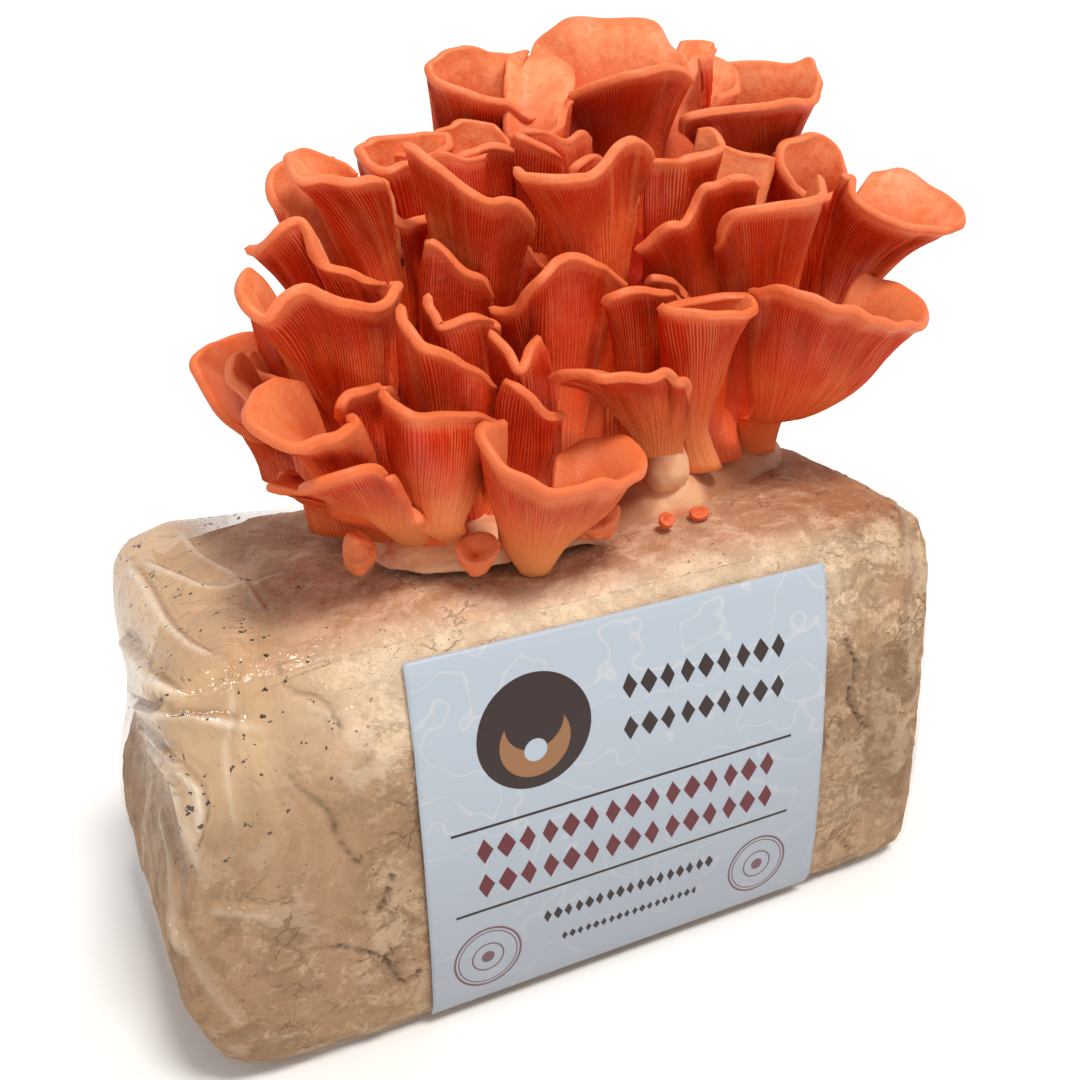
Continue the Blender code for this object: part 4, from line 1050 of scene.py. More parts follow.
@dataclass(frozen=True)
class CapFlesh:
    """The flesh of the caps: gills in deep orange red, lips and tops in peach.

    The spans are distances from the rim in millimetres, and the last one heights in metres.
    """

    # Painted shade in the grooves between the gills
    valley_shade: tuple = linear(182, 32, 4)
    ridge: tuple = linear(226, 70, 20)
    # Painted glow of light scattered through the flesh, on the gills deeper from the rim
    painted_glow: tuple = linear(240, 84, 18)
    light_streak: tuple = linear(240, 116, 64)
    waist: tuple = linear(252, 128, 58)
    lip: tuple = linear(234, 112, 58)
    top: tuple = linear(255, 160, 108)
    top_dark: tuple = linear(246, 132, 78)
    # Painted shade on the tops of the lower caps
    shaded_top: tuple = linear(222, 112, 62)
    # Painted shade deep in each cap's hollow, towards its throat
    hollow_shade: tuple = linear(228, 88, 38)
    speck: tuple = linear(180, 88, 50)
    cream: tuple = linear(238, 156, 92)
    roughness: float = 0.5
    gill_span: tuple = (10.0, 34.0)
    waist_span: tuple = (13.0, 26.0)
    lip_span: tuple = (1.0, 5.0)
    hollow_span: tuple = (10.0, 36.0)
    shaded_span: tuple = (0.165, 0.225)

    def make(self) -> Finish:
        """Makes the material."""
        s = Sketch("cap_flesh")
        ridge, streak, top, pale, gap = s.read("ridge", "streak", "top", "pale", "gap")
        deep = s.span(gap, *self.gill_span)
        bright = s.times(s.span(gap, *self.waist_span, 0.0, 0.7), s.span(s.cloud(0.018, 1), 0.5, 0.62))
        # The crests turn to the painted glow deeper from the rim
        crest = s.layered(
            s.mix(deep, self.ridge, self.painted_glow),
            (s.span(streak, 0.1, 1.7, 0.0, 0.9), self.light_streak),
            (s.span(s.cloud(0.011, 1), 0.5, 0.72, 0.0, 0.4), self.light_streak),
            (bright, self.waist))
        # The grooves get painted shade, lifted a little deeper from the rim
        shaded_groove = s.mix(s.times(deep, 0.45), self.valley_shade, self.ridge)
        gills = s.layered(
            shaded_groove,
            (s.span(ridge, 0.1, 1.0), crest),
            (s.times(s.math("POWER", pale, 1.4), 0.95), self.cream))
        dots = s.times(s.span(s.cloud(0.0022, 3, 0.6), 0.66, 0.74, 0.0, 0.5),
                       s.span(s.cloud(0.03, 1), 0.5, 0.65))
        skin = s.layered(
            self.top,
            (s.span(s.cloud(0.004, 4, 0.7), 0.35, 0.7), self.top_dark),
            # Painted shade: tops lower down are darker
            (s.span(s.axes()["Z"], *self.shaded_span, 0.75, 0.0), self.shaded_top),
            (s.span(gap, *self.lip_span, 0.55, 0.0), self.lip),
            (dots, self.speck),
            # Painted shade, deeper red further down the hollow
            (s.span(gap, *self.hollow_span, 0.0, 0.8), self.hollow_shade))
        soft = s.bump(s.cloud(0.006, 3, 0.7), 0.0012, 0.45)
        return s.finish(s.mix(top, gills, skin), self.roughness, normal=soft, shine=0.35)


@dataclass(frozen=True)
class GrownSawdust:
    """The grown-through block: cream and tan, with brown mottling, flakes and cracks.

    The spans are places on the block in metres.
    """

    cream: tuple = linear(250, 218, 180)
    tan: tuple = linear(208, 166, 128)
    brown: tuple = linear(138, 104, 70)
    grey: tuple = linear(164, 136, 104)
    dark: tuple = linear(54, 36, 22)
    flake: tuple = linear(250, 226, 196)
    ochre: tuple = linear(236, 182, 146)
    shade: tuple = linear(134, 102, 76)
    # Painted shadow of the caps on the block's top, warmed by their orange light
    cap_shadow: tuple = linear(176, 106, 64)
    right_span: tuple = (0.02, 0.12)
    low_span: tuple = (0.092, 0.118)
    high_span: tuple = (0.098, 0.124)
    top_span: tuple = (0.1165, 0.1225)
    under_caps: tuple = (-0.048, -0.03)

    @staticmethod
    def chinks(s: Sketch) -> Socket:
        """Gives the thin chinks between grains, which run in patches."""
        shake = s.node("TexNoise", {"Vector": s.place(), "Scale": 260.0, "Detail": 3.0}).outputs["Color"]
        shake = s.node("VectorMath", {0: shake, "Scale": 0.006}, operation="SCALE").outputs[0]
        bent = s.node("VectorMath", {0: s.place((1, 1, 1.2)), 1: shake}, operation="ADD").outputs[0]
        edges = s.node("TexVoronoi", {"Vector": bent, "Scale": 105.0}, feature="DISTANCE_TO_EDGE").outputs[0]
        return s.times(s.span(edges, 0.0, 0.04, 1.0, 0.0), s.span(s.cloud(0.022, 5), 0.55, 0.63))

    def make(self) -> Finish:
        """Makes the material."""
        s = Sketch("grown_sawdust")
        along, across, up = s.axes()
        right = s.span(along, *self.right_span)
        broad = s.cloud(0.03, 4, 0.62, bend=0.8)
        fine = s.cloud(0.0045, 5, 0.75, bend=0.5)
        grit = s.cloud(0.0014, 3, 0.75)
        mottle = s.plus(s.cloud(0.014, 5, 0.72, s.place((1, 1, 1.3)), 0.9), s.times(right, 0.05))
        blend = s.plus(s.times(broad, 0.55), s.times(fine, 0.45))
        grains = s.span(s.plus(s.times(grit, 0.5), s.times(mottle, 0.9)), 0.67, 0.76)
        deep = s.span(s.plus(s.times(fine, 0.6), s.times(mottle, 0.7)), 0.70, 0.79)
        warm = s.span(s.cloud(0.042, 3, 0.5, s.place(turn=(0.4, 0.2, 0.9))), 0.54, 0.70, 0.0, 0.5)
        chinks = self.chinks(s)
        wavy = s.plus(up, s.times(s.cloud(0.035, 3), 0.03))
        low = s.math("MAXIMUM", s.span(wavy, *self.low_span, 0.6, 0.0), s.times(right, 0.35))
        high = s.times(s.span(wavy, *self.high_span, 0.0, 0.6), s.span(right, 1.0, 0.3))
        # Painted shadow under the caps, broken up by the mottle
        cap_shadow = s.times(s.span(up, *self.top_span, 0.1, 0.7), s.span(mottle, 0.36, 0.58, 0.45, 1.0))
        chips = s.times(s.span(s.cloud(0.0017, 3, 0.6, s.place((1, 1, 0.7))), 0.66, 0.70),
                        s.span(s.cloud(0.016, 4), 0.44, 0.56))
        flake, crack = s.read("flake", "crack")
        colour = s.layered(
            self.tan,
            (s.span(blend, 0.46, 0.54), self.cream),
            (s.times(grains, 0.8), self.grey),
            (s.times(deep, 0.85), self.brown),
            (warm, self.ochre),
            (flake, self.flake),
            (s.times(chinks, 0.55), self.brown),
            (low, self.shade),
            (high, self.flake),
            (s.times(cap_shadow, s.span(across, *self.under_caps)), self.cap_shadow),
            (s.times(chips, 0.9), self.dark),
            (s.times(crack, 0.8), self.dark))
        relief = s.bump(fine, 0.0016, 0.8)
        relief = s.bump(grit, 0.0006, 0.7, relief)
        relief = s.bump(chinks, -0.0008, 0.8, relief)
        return s.finish(colour, 0.85, normal=relief, shine=0.25)


@dataclass(frozen=True)
class ClearFilm:
    """The hazy film of the bag: thin where it clings, milky where it stands off, with painted highlights and
    painted shade along its folds.
    """

    haze: tuple = linear(232, 194, 146)
    warm_haze: tuple = linear(206, 164, 124)
    # Painted highlight on one side of each fold
    glint: tuple = linear(250, 238, 218)
    # Painted shade in the creases of the folds
    dark: tuple = linear(120, 86, 52)
    speck: tuple = linear(52, 40, 28)

    def make(self) -> Finish:
        """Makes the material."""
        s = Sketch("clear_film")
        loose, fold, crease = s.read("loose", "fold", "crease")
        wisps = s.span(s.cloud(0.02, 3, 0.6, s.place((1, 1, 0.45)), 0.8), 0.5, 0.7, 0.0, 0.2)
        specks = s.times(s.span(s.cloud(0.0026, 2, 0.5), 0.67, 0.70), s.span(loose, 0.02, 0.2))
        cover = s.plus(s.times(loose, 0.66), wisps, 0.05, s.times(fold, 0.38), s.times(crease, 0.7), specks)
        colour = s.layered(
            self.haze,
            (s.cloud(0.03, 1), self.warm_haze),
            # Painted highlight along the folds
            (fold, self.glint),
            # Painted shade in the fold creases
            (s.times(crease, 0.8), self.dark),
            (specks, self.speck))
        crinkle = s.bump(s.cloud(0.012, 3, 0.6, s.place((1, 1, 0.5)), 1.2), 0.0035, 0.7)
        crinkle = s.bump(s.cloud(0.0035, 2, 0.65, s.place((1, 1, 0.6)), 0.6), 0.0010, 0.6, crinkle)
        return s.finish(colour, 0.17, alpha=s.math("MINIMUM", cover, 0.92), normal=crinkle, shine=0.8)


@dataclass(frozen=True)
class LabelPaper:
    """Pale blue paper with a plain print of a round emblem, rules, ring seals and rows of ornament.

    Places on the label are millimetres from its lower left corner. A rule has its left, right and height,
    a row its left, right, height, half height and pitch, and a seal its middle.
    """

    paper: tuple = linear(178, 188, 199)
    line: tuple = linear(200, 201, 204)
    shade: tuple = linear(140, 140, 146)
    ink: tuple = linear(46, 28, 24)
    wine: tuple = linear(98, 34, 40)
    tan: tuple = linear(150, 104, 66)
    emblem: tuple = (34.0, 86.0, 17.0)
    rules: tuple = ((8.0, 118.0, 61.0), (8.0, 118.0, 34.0))
    rule_half: float = 0.42
    ink_rows: tuple = ((60.0, 116.0, 92.0, 8.0, 6.2), (60.0, 116.0, 79.0, 8.0, 6.2),
                       (34.0, 92.0, 24.5, 4.6, 3.4), (40.0, 86.0, 15.0, 3.2, 2.6))
    wine_rows: tuple = ((14.0, 112.0, 53.5, 8.6, 6.6), (14.0, 112.0, 42.0, 8.6, 6.6))
    seals: tuple = ((108.0, 17.0), (17.0, 17.0))
    seal_rings: tuple = ((10.5, 9.8), (9.2, 8.8), (5.0, 4.5), (2.0, 0.0))

    def inked(self, s: Sketch) -> list:
        """Gives the print as pairs of a share and an ink, in the order in which they are laid on."""
        u, v = s.read("across", "up")
        x, z, radius = self.emblem
        discs = ((0.0, 1.0, self.ink), (-3.0, 0.62, self.tan), (3.5, 0.52, self.ink), (-5.5, 0.2, self.paper))
        coats = [(s.disc(u, v, x, z + rise, radius * share), ink) for rise, share, ink in discs]
        for left, right, z in self.rules:
            rule = s.bar(u, v, left, right, z - self.rule_half, z + self.rule_half)
            coats.append((rule, self.ink))
        for rows, ink in ((self.ink_rows, self.ink), (self.wine_rows, self.wine)):
            coats += [(s.lozenges(u, v, *row), ink) for row in rows]
        for seal in self.seals:
            for outer, inner in self.seal_rings:
                ring = s.math("SUBTRACT", s.disc(u, v, *seal, outer), s.disc(u, v, *seal, inner))
                coats.append((s.times(ring, 0.85), self.wine))
        return [(s.span(v, 0.0, 95.0, 0.55, 0.0), self.shade)] + coats

    def make(self) -> Finish:
        """Makes the material."""
        s = Sketch("label_paper")
        waves = s.node("TexWave", {"Vector": s.place(), "Scale": 14.0, "Distortion": 9.0, "Detail": 2.0,
                                   "Detail Scale": 3.0}, wave_type="RINGS").outputs["Fac"]
        lines = s.span(s.apart(waves, 0.5), 0.0, 0.12, 0.75, 0.0)
        colour = s.layered(self.paper, (lines, self.line), *self.inked(s))
        return s.finish(colour, 0.42, normal=s.bump(s.cloud(0.04, 2), 0.002, 0.3), shine=0.45)


@dataclass(frozen=True)
class KnotFlesh:
    """The pale grown-together flesh at the foot of the bunch."""

    pale: tuple = linear(232, 176, 132)
    pink: tuple = linear(220, 118, 76)
    # Substrate brown with painted shade, on the knot's right part away from the bulb
    earth_and_shade: tuple = linear(176, 116, 78)
    bulb_x: float = 0.05

    def make(self) -> Finish:
        """Makes the material."""
        s = Sketch("knot_flesh")
        along = s.axes()["X"]
        shade = s.span(s.plus(along, s.times(s.cloud(0.014, 4), 0.06)), 0.02, 0.06)
        beside = s.span(s.apart(along, self.bulb_x), 0.006, 0.014)
        colour = s.layered(
            self.pale,
            (s.span(s.cloud(0.012, 4), 0.5, 0.75), self.pink),
            (s.times(shade, beside), self.earth_and_shade))
        return s.finish(colour, 0.55, normal=s.bump(s.cloud(0.005, 5), 0.001, 0.5))


def distance_to_line(points: np.ndarray, line: np.ndarray) -> tuple:
    """Measures how far points lie from a bent line, seen from the eye.

    Args:
        points: Points in space.
        line: Points of the bent line in space.

    Returns:
        For each point its distance, on the left of the line's run below zero, and its share along it.
    """
    best = np.full(len(points), 1e9)
    side = np.zeros(len(points))
    share = np.zeros(len(points))
    length = np.concatenate([[0.0], np.cumsum(np.linalg.norm(np.diff(line, axis=0), axis=1))])
    for k, (a, b) in enumerate(zip(line[:-1], line[1:])):
        run = b - a
        t = np.clip((points - a) @ run / (run @ run), 0, 1)
        off = points - a - t[:, None] * run
        gap = np.linalg.norm(off, axis=1)
        square = np.cross(run, (a + b) / 2 - Bunch.facing_point)
        near = gap < best
        best[near] = gap[near]
        side[near] = np.sign(off[near] @ square)
        share[near] = (length[k] + t[near] * np.linalg.norm(run)) / length[-1]
    return best * np.where(side == 0, 1, side), share


@dataclass
class Block:
    """The grown block and the film round it, both laid on the faces of the block's solid."""

    solid: Piece
    cell: float = 1.35
    film_cell: float = 1.6
    smooth_passes: int = 14
    film_lift: float = 0.7
    least_lift: float = 0.4
    loose_lift: float = 7.0
    milky_lift: float = 4.0
    low_bulge: float = 9.0
    corner_drop: float = 9.0
    end_span: tuple = (-70, -108)
    bulge_span: tuple = (92, 40)
    foot_span: tuple = (0, 34)
    loose_middle: tuple = (-112, 116)
    loose_reach: tuple = (30, 30)
    flaky_middle: tuple = (-62, 108)
    flaky_reach: tuple = (45, 30)
    refined_below: float = -62.0
    view_side: int = 1080
    ray_start: float = -200.0
    # The block's cracks: places in the view, as steps to the right and down
    cracks: tuple = (
        ((287, 774), (301, 792), (328, 812), (336, 830), (343, 846), (357, 863)),
        ((394, 875), (388, 895), (380, 912), (363, 916)),
        ((325, 949), (343, 948), (360, 952), (386, 961), (403, 984), (423, 970)),
        ((250, 640), (275, 655), (290, 690), (322, 700), (345, 735)),
        ((846, 640), (858, 668), (850, 700), (868, 730)),
    )
    # The film's folds in the same way, with how high and how wide each is
    folds: tuple = (
        (((106, 604), (112, 618), (124, 634), (144, 661), (173, 690), (197, 699)), 3.0, 2.2),
        (((197, 699), (176, 700), (150, 698), (128, 690)), 1.6, 1.6),
        (((133, 705), (165, 712), (205, 716), (245, 722), (279, 731)), 1.8, 1.8),
        (((136, 720), (156, 740), (178, 765), (202, 792), (200, 830), (190, 870)), 1.7, 2.0),
        (((146, 745), (167, 760), (185, 810), (200, 860), (210, 901)), 1.4, 1.8),
        (((160, 800), (172, 850), (176, 900), (190, 960)), 1.5, 2.0),
        (((205, 906), (230, 910), (255, 912), (277, 915)), 1.2, 1.6),
        (((140, 560), (175, 575), (215, 590), (255, 585), (290, 570)), 1.5, 1.8),
        (((180, 530), (200, 555), (240, 580), (270, 620)), 1.2, 1.6),
        (((128, 560), (150, 590), (170, 625), (200, 650), (240, 668)), 1.6, 1.8),
        (((170, 900), (185, 940), (215, 990), (250, 1030)), 1.3, 1.8),
        (((225, 640), (235, 700), (228, 760), (240, 840)), 0.8, 1.5),
        (((150, 870), (158, 910), (170, 950)), 1.0, 1.5),
        (((880, 470), (892, 500), (905, 530), (903, 580)), 1.8, 2.0),
        (((905, 520), (915, 560), (908, 620), (912, 690)), 1.4, 1.8),
        (((848, 520), (872, 560), (880, 620), (872, 700), (880, 760)), 0.9, 1.6),
        (((430, 560), (470, 580), (520, 585), (560, 575)), 0.8, 1.6),
        (((640, 500), (700, 505), (760, 492), (820, 500)), 0.8, 1.6),
        (((300, 700), (340, 712), (380, 700)), 0.8, 1.4),
    )

    def __post_init__(self) -> None:
        """Reads the block's solid."""
        self.low, self.high = (np.array(corner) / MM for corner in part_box("substrate_block"))
        self.tree = Shaping.surface(self.solid)

    def wrap(self, name: str, cell: float) -> Piece:
        """Makes a box of even cells and lays it on the solid.

        Args:
            name: The piece's name.
            cell: About how wide a cell is.

        Returns:
            The wrapped piece.
        """
        bpy.ops.mesh.primitive_cube_add(size=2)
        piece = Shaping.started(name)
        half = (self.high - self.low) / 2
        middle = (self.high + self.low) / 2
        with Shaping.opened(piece) as form:
            for axis in range(3):
                along = [e for e in form.edges if abs((e.verts[0].co - e.verts[1].co)[axis]) > 1.9]
                cuts = int(2 * half[axis] / cell)
                bmesh.ops.subdivide_edges(form, edges=along, cuts=cuts, use_grid_fill=True)
        points = Shaping.places(piece) * MM * half + middle
        laid = np.array([self.tree.find_nearest(Vector(p))[0] for p in points])
        end = smoothstep(*self.end_span, laid[:, 0])
        foot = 0.45 + 0.55 * smoothstep(*self.foot_span, laid[:, 2])
        low = smoothstep(*self.bulge_span, laid[:, 2]) * foot
        laid[:, 0] -= self.low_bulge * end * low
        Shaping.move_to(piece, laid)
        Shaping.modify(piece, "SMOOTH", factor=0.5, iterations=self.smooth_passes)
        return piece

    def seen(self, spots: Sequence, tree: BVHTree) -> np.ndarray:
        """Gives the places on a surface that the eye sees in given directions.

        Args:
            spots: Steps to the right and down from the view's corner.
            tree: The surface.

        Returns:
            One place in millimetres for each.
        """
        studio = Studio()
        eye = np.array(studio.eye) / MM
        scale = studio.lens / studio.sensor * self.view_side
        half = self.view_side / 2
        places = []
        for right, down in spots:
            aim = (np.array(studio.forward) + (right - half) / scale * np.array(studio.right)
                   + (half - down) / scale * np.array(studio.up))
            hit = tree.ray_cast(Vector(eye), Vector(aim))[0]
            if hit is not None:
                places.append(hit)
        return smooth_curve(places, False, 3 * len(places)) if len(places) > 1 else np.zeros((0, 3))

    def loose(self, points: np.ndarray) -> np.ndarray:
        """Gives how far the film stands off at its folded end, where the block lies further in."""
        return self.loose_lift * patch(points[:, ::2], self.loose_middle, self.loose_reach)

    def build_block(self, finish: Finish) -> None:
        """Makes the grown block."""
        piece = self.wrap("grown_block", self.cell)
        points, square = Shaping.places(piece), Shaping.directions(piece)
        lumps = Shaping.lumps(points, 9.0, 0.7, 4)
        plates = Shaping.lumps(points, 15.0, 0.6, 5, (7, 3, 1))
        flaky = patch(points[:, ::2], self.flaky_middle, self.flaky_reach)
        flake = smoothstep(0.52, 0.56, plates + 0.5 * flaky)
        crack = np.zeros(len(points))
        drop = np.zeros(len(points))
        for spots in self.cracks:
            gap, share = distance_to_line(points, self.seen(spots, self.tree))
            wide = 0.3 + 0.5 * np.sin(np.pi * np.clip(share, 0.05, 0.95)) * (0.6 + 0.4 * np.sin(23 * share))
            crack = np.maximum(crack, np.exp(-(gap / wide) ** 2))
            drop += -1.3 * np.exp(-(gap / (1.3 * wide)) ** 2) + 0.5 * np.exp(-((gap - 2.0) / 1.6) ** 2)
        height = np.minimum(0.45 * lumps + 0.45 * flake + drop - 0.45, self.film_lift - 0.5)
        height = height - self.corner_drop * self.loose(points) / self.loose_lift
        Shaping.move_to(piece, points + square * height[:, None])
        Shaping.mark(piece, crack=crack, flake=0.5 * flake)
        hand_over(piece, Slot.SAWDUST, finish, "substrate_block")

    @staticmethod
    def refine(piece: Piece, edge: float) -> None:
        """Halves the cells of a piece on the left of an upright plane."""
        with Shaping.opened(piece) as form:
            edges = [e for e in form.edges if max(v.co.x for v in e.verts) < edge * MM]
            bmesh.ops.subdivide_edges(form, edges=edges, cuts=1, use_grid_fill=True, smooth=0.3)

    def build_film(self, finish: Finish) -> None:
        """Makes the film as one closed skin."""
        piece = self.wrap("film_bag", self.film_cell)
        self.refine(piece, self.refined_below)
        points, square = Shaping.places(piece), Shaping.directions(piece)
        loose = self.loose(points)
        lift = self.film_lift + loose
        fold = np.zeros(len(points))
        crease = np.zeros(len(points))
        even = points + square * lift[:, None]
        tree = Shaping.surface(piece, even)
        for spots, height, wide in self.folds:
            gap, share = distance_to_line(even, self.seen(spots, tree))
            ends = smoothstep(0, 0.15, share) * smoothstep(1, 0.85, share)
            steep = np.exp(-(gap / (np.where(gap > 0, 0.45, 2.2) * wide)) ** 2)
            dip = np.exp(-((gap - wide) / wide) ** 2)
            lift = lift + ends * height * (steep - 0.35 * dip)
            # Painted highlight on one side of each fold
            lit = np.exp(-((gap + 0.6) / (0.6 * wide)) ** 2) * min(0.35 * height, 0.8)
            # Painted shade in the crease on the fold's other side
            dark = np.exp(-((gap - 1.2) / 1.1) ** 2) * min(0.4 * height, 0.9)
            fold, crease = np.maximum(fold, ends * lit), np.maximum(crease, ends * dark)
        lift = np.maximum(lift, self.least_lift)
        Shaping.move_to(piece, points + square * lift[:, None])
        loose = np.clip(loose / self.milky_lift, 0, 1)
        Shaping.mark(piece, loose=loose, fold=np.clip(fold, 0, 1), crease=np.clip(crease, 0, 1))
        self.skin = Shaping.surface(piece)
        hand_over(piece, Slot.FILM, finish, "bag")

    def front(self, x: float, z: float) -> float:
        """Gives the depth of the film's front at a place in the front view."""
        return self.skin.ray_cast(Vector((x, self.ray_start, z)), Vector((0, 1, 0)))[0].y


@dataclass
class Label:
    """The square label on the film's front."""

    side: float = 130.0
    middle_x: float = 11.2
    top_z: float = 117.0
    bottom_z: float = 4.0
    cells: int = 90
    gap: float = 0.35
    wall: float = 0.25

    def build(self, block: Block, finish: Finish) -> None:
        """Makes the label.

        Args:
            block: The block whose film it is stuck on.
            finish: Its material.
        """
        bpy.ops.mesh.primitive_grid_add(x_subdivisions=self.cells, y_subdivisions=self.cells, size=1)
        piece = Shaping.started("paper_label")
        flat = Shaping.places(piece) * MM
        x = self.middle_x + flat[:, 0] * self.side
        z = self.bottom_z + (flat[:, 1] + 0.5) * (self.top_z - self.bottom_z)
        y = np.array([block.front(a, c) for a, c in zip(x, z)]) - self.gap
        Shaping.move_to(piece, np.stack([x, y, z], axis=1))
        Shaping.mark(piece, across=(flat[:, 0] + 0.5) * self.side, up=z - self.bottom_z)
        Shaping.modify(piece, "SOLIDIFY", thickness=self.wall * MM, offset=1.0)
        hand_over(piece, Slot.PAPER, finish, "label")


@dataclass
class Foot:
    """The knot of grown-together stems at the slit, and what grows on it."""

    nodes: dict
    # Each young cap's solid, how deep its hollow is and how much of its skin is top side
    young_caps: tuple = (("bud_01", 0.0, 1.0), ("bud_02", 1.0, 0.8), ("bud_03", 0.5, 0.8),
                         ("bud_04", 0.3, 0.6), ("bud_05", 0.3, 0.6))
    hollow_way: tuple = (-0.15, -0.45, 0.9)
    bare_x: tuple = (8, 26)
    bare_y: tuple = (20, -10)
    bare_drop: tuple = (0.0, 4.0, -9.0)
    kept_middle: tuple = (50, -6)
    kept_reach: tuple = (9, 12)
    bulb_middle: tuple = (46.5, -8.0, 140.5)
    bulb_half: tuple = (6.6, 6.0, 9.0)
    core_middle: tuple = (28.0, 37.0, 168.0)
    core_half: tuple = (60.0, 11.0, 42.0)

    def build(self, knot_finish: Finish, cap_finish: Finish) -> None:
        """Makes the knot, the inner stems, the bulb and the young caps."""
        self.knot(knot_finish)
        self.inner_stems(cap_finish)
        self.bulb(knot_finish)
        for node, hollow, top in self.young_caps:
            self.young_cap(node, hollow, top, cap_finish)

    def soften(self, node: str, name: str, levels: int, height: float) -> Piece:
        """Makes a smooth, lumpy copy of a solid.

        Args:
            node: The solid's name.
            name: The piece's name.
            levels: How often its faces are divided.
            height: How high its lumps are.

        Returns:
            The piece.
        """
        piece = bpy.data.objects.new(name, self.nodes[node].data.copy())
        bpy.context.scene.collection.objects.link(piece)
        Shaping.weld(piece, 1e-6)
        bpy.context.view_layer.objects.active = piece
        Shaping.modify(piece, "SUBSURF", levels=levels, render_levels=levels)
        points, square = Shaping.places(piece), Shaping.directions(piece)
        Shaping.move_to(piece, points + square * (height * Shaping.lumps(points, 8.0, 0.7, 4))[:, None])
        return piece

    def knot(self, finish: Finish) -> None:
        """Makes the knot, lower where it lies bare in front, but for the place under the bulb."""
        piece = self.soften("cluster_base", "stem_knot", 3, 0.8)
        points = Shaping.places(piece)
        bare = smoothstep(*self.bare_x, points[:, 0]) * smoothstep(*self.bare_y, points[:, 1])
        kept = patch(points[:, :2], self.kept_middle, self.kept_reach)
        Shaping.move_to(piece, points + (bare * (1 - kept))[:, None] * self.bare_drop)
        hand_over(piece, Slot.KNOT, finish, "cluster_base")

    def young_cap(self, node: str, hollow: float, top: float, finish: Finish) -> None:
        """Makes a small round cap with a hollow in its upper front.

        Args:
            node: The solid that it stands for.
            hollow: How deep its hollow is.
            top: How much of its skin is top side.
            finish: Its material.
        """
        piece = self.soften(node, node + "_flesh", 4, 0.5)
        points = Shaping.places(piece)
        middle = points.mean(axis=0)
        size = np.linalg.norm(points - middle, axis=1)
        facing = unit(points - middle) @ unit(self.hollow_way)
        dent = hollow * smoothstep(0.5, 0.95, facing)
        swell = 0.22 * np.exp(-((facing - 0.45) / 0.2) ** 2) - 0.25 * smoothstep(0.1, -0.9, facing)
        wave = Shaping.waves((points - middle) / 5.0, shift=middle)
        points = points + (points - middle) * (swell - 0.75 * dent + 0.35 * wave)[:, None]
        small = smoothstep(6.0, 3.5, size.max())
        spread = (1.0 - 0.3 * small, 0.95, 1.15 - 0.3 * small)
        Shaping.move_to(piece, middle + (points - middle) * spread + (0, 1.5, 1.5 - 4.5 * small))
        # A deeper dent gets a larger gap, so the flesh paints shade in the hollow and glow on the gills
        Shaping.mark(piece, ridge=0.6, streak=0.0, top=top, pale=0.0, gap=6 + 20 * dent)
        hand_over(piece, Slot.FLESH, finish, node)

    def ball(self, name: str, segments: int, rings: int) -> tuple:
        """Adds a round piece, and gives it with its points on the unit ball."""
        bpy.ops.mesh.primitive_uv_sphere_add(segments=segments, ring_count=rings, radius=1)
        piece = Shaping.started(name)
        return piece, Shaping.places(piece) * MM

    def inner_stems(self, finish: Finish) -> None:
        """Makes the grown-together stems inside the bunch, seen only through its gaps."""
        piece, points = self.ball("inner_stems", 160, 60)
        turn = np.arctan2(points[:, 1], points[:, 0])
        flute = 1 + 0.05 * np.abs(np.sin(17 * turn + 2 * points[:, 2])) + 0.05 * np.sin(5 * turn)
        swell = flute + 0.14 * Shaping.waves(points, 3.0)
        Shaping.move_to(piece, points * swell[:, None] * self.core_half + self.core_middle)
        # A low ridge value gives mostly the painted shade of the gill grooves
        Shaping.mark(piece, ridge=0.2, streak=0.0, top=0.0, pale=0.0, gap=12.0)
        hand_over(piece, Slot.FLESH, finish)

    def bulb(self, finish: Finish) -> None:
        """Makes the pale swelling at the foot of a cap on the right."""
        piece, points = self.ball("stem_bulb", 72, 40)
        swell = 1 + 0.12 * Shaping.waves(points, 1.7, (3, 1, 2))
        slim = 1 - 0.25 * points[:, 2:3] * np.array([1.0, 1.0, 0.0])
        Shaping.move_to(piece, points * slim * swell[:, None] * self.bulb_half + self.bulb_middle)
        hand_over(piece, Slot.KNOT, finish)


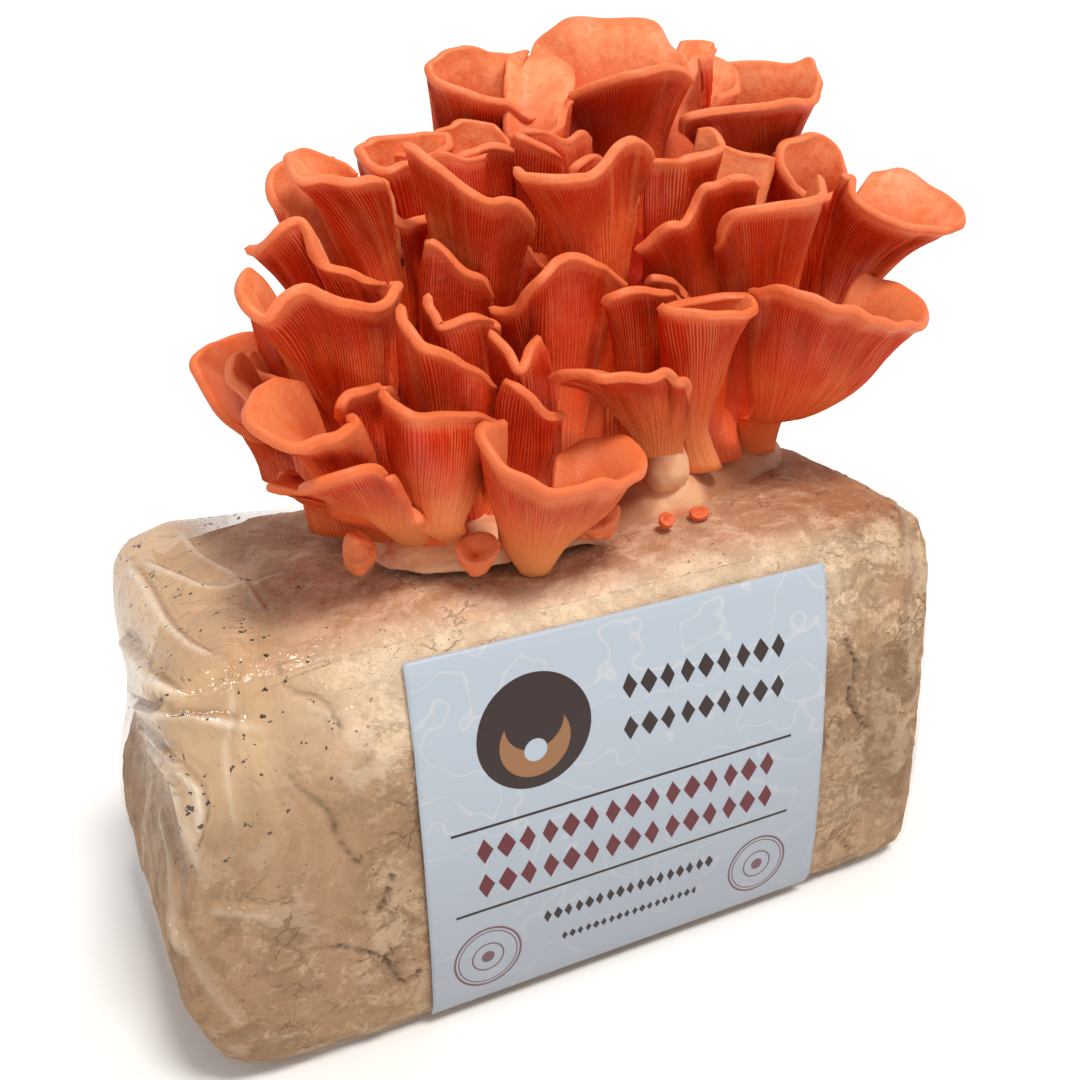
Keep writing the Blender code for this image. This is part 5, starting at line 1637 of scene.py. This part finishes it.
@dataclass
class Studio:
    """The floor, the light and the camera."""

    eye: tuple = (-0.138, -0.313, 0.271)
    right: tuple = (0.90267, -0.42979, -0.02180)
    up: tuple = (0.19021, 0.35302, 0.91608)
    forward: tuple = (0.38602, 0.83106, -0.40040)
    lens: float = 41.67
    sensor: float = 36.0
    floor_size: float = 600.0
    sky_light: float = 0.56
    sun_from: tuple = (0.12, -0.42, 1.0)
    sun_power: float = 2.3
    sun_spread: float = 14.0
    sun_colour: tuple = (1.0, 0.97, 0.93)
    floor_colour: tuple = (0.93, 0.93, 0.93)
    floor_drop: float = 0.0005
    sky_span: tuple = (0.01, 0.08)

    def build(self) -> None:
        """Sets up the floor, the lights and the camera."""
        self.floor()
        self.lights()
        self.camera()

    def floor(self) -> None:
        """Makes the plain pale floor."""
        bpy.ops.mesh.primitive_plane_add(size=self.floor_size, location=(0, 0, -self.floor_drop))
        floor = Shaping.started("floor")
        floor.data.materials.append(Sketch("pale_floor").finish((*self.floor_colour, 1.0), 1.0, shine=0.0))

    def lights(self) -> None:
        """Adds a broad light from above the front, and a pale sky."""
        light = bpy.data.lights.new("key", "SUN")
        light.energy = self.sun_power
        light.angle = math.radians(self.sun_spread)
        light.color = self.sun_colour
        lamp = bpy.data.objects.new("key", light)
        bpy.context.scene.collection.objects.link(lamp)
        lamp.location = self.sun_from
        lamp.rotation_euler = (-Vector(self.sun_from)).to_track_quat("-Z", "Y").to_euler()
        world = bpy.data.worlds.new("pale_sky")
        bpy.context.scene.world = world
        world.use_nodes = True
        nodes, links = world.node_tree.nodes, world.node_tree.links
        sky = nodes["Background"]
        sky.inputs[0].default_value = (1, 1, 1, 1)
        way = nodes.new("ShaderNodeSeparateXYZ")
        links.new(nodes.new("ShaderNodeTexCoord").outputs["Generated"], way.inputs[0])
        fade = nodes.new("ShaderNodeMapRange")
        for number, value in enumerate((*self.sky_span, 1.0, self.sky_light), start=1):
            fade.inputs[number].default_value = value
        links.new(way.outputs["Z"], fade.inputs[0])
        links.new(fade.outputs[0], sky.inputs[1])
        bpy.context.scene.view_settings.view_transform = "Standard"

    def camera(self) -> None:
        lens = bpy.data.cameras.new("camera")
        lens.lens = self.lens
        lens.sensor_width = self.sensor
        camera = bpy.data.objects.new("camera", lens)
        bpy.context.scene.collection.objects.link(camera)
        turn = Matrix((self.right, self.up, [-c for c in self.forward])).transposed()
        camera.matrix_world = Matrix.Translation(self.eye) @ turn.to_4x4()
        bpy.context.scene.camera = camera


def main() -> None:
    """Builds the looks round the frame, piece by piece."""
    logging.basicConfig(level=logging.INFO, format="%(message)s")
    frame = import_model()
    bpy.ops.object.select_all(action="DESELECT")
    nodes = frame["nodes"]
    Studio().build()
    flesh = CapFlesh().make()
    block = Block(nodes["substrate_block"])
    block.build_block(GrownSawdust().make())
    block.build_film(ClearFilm().make())
    Label().build(block, LabelPaper().make())
    Foot(nodes).build(KnotFlesh().make(), flesh)
    Bunch(nodes).build(flesh)


if __name__ == "__main__":
    main()
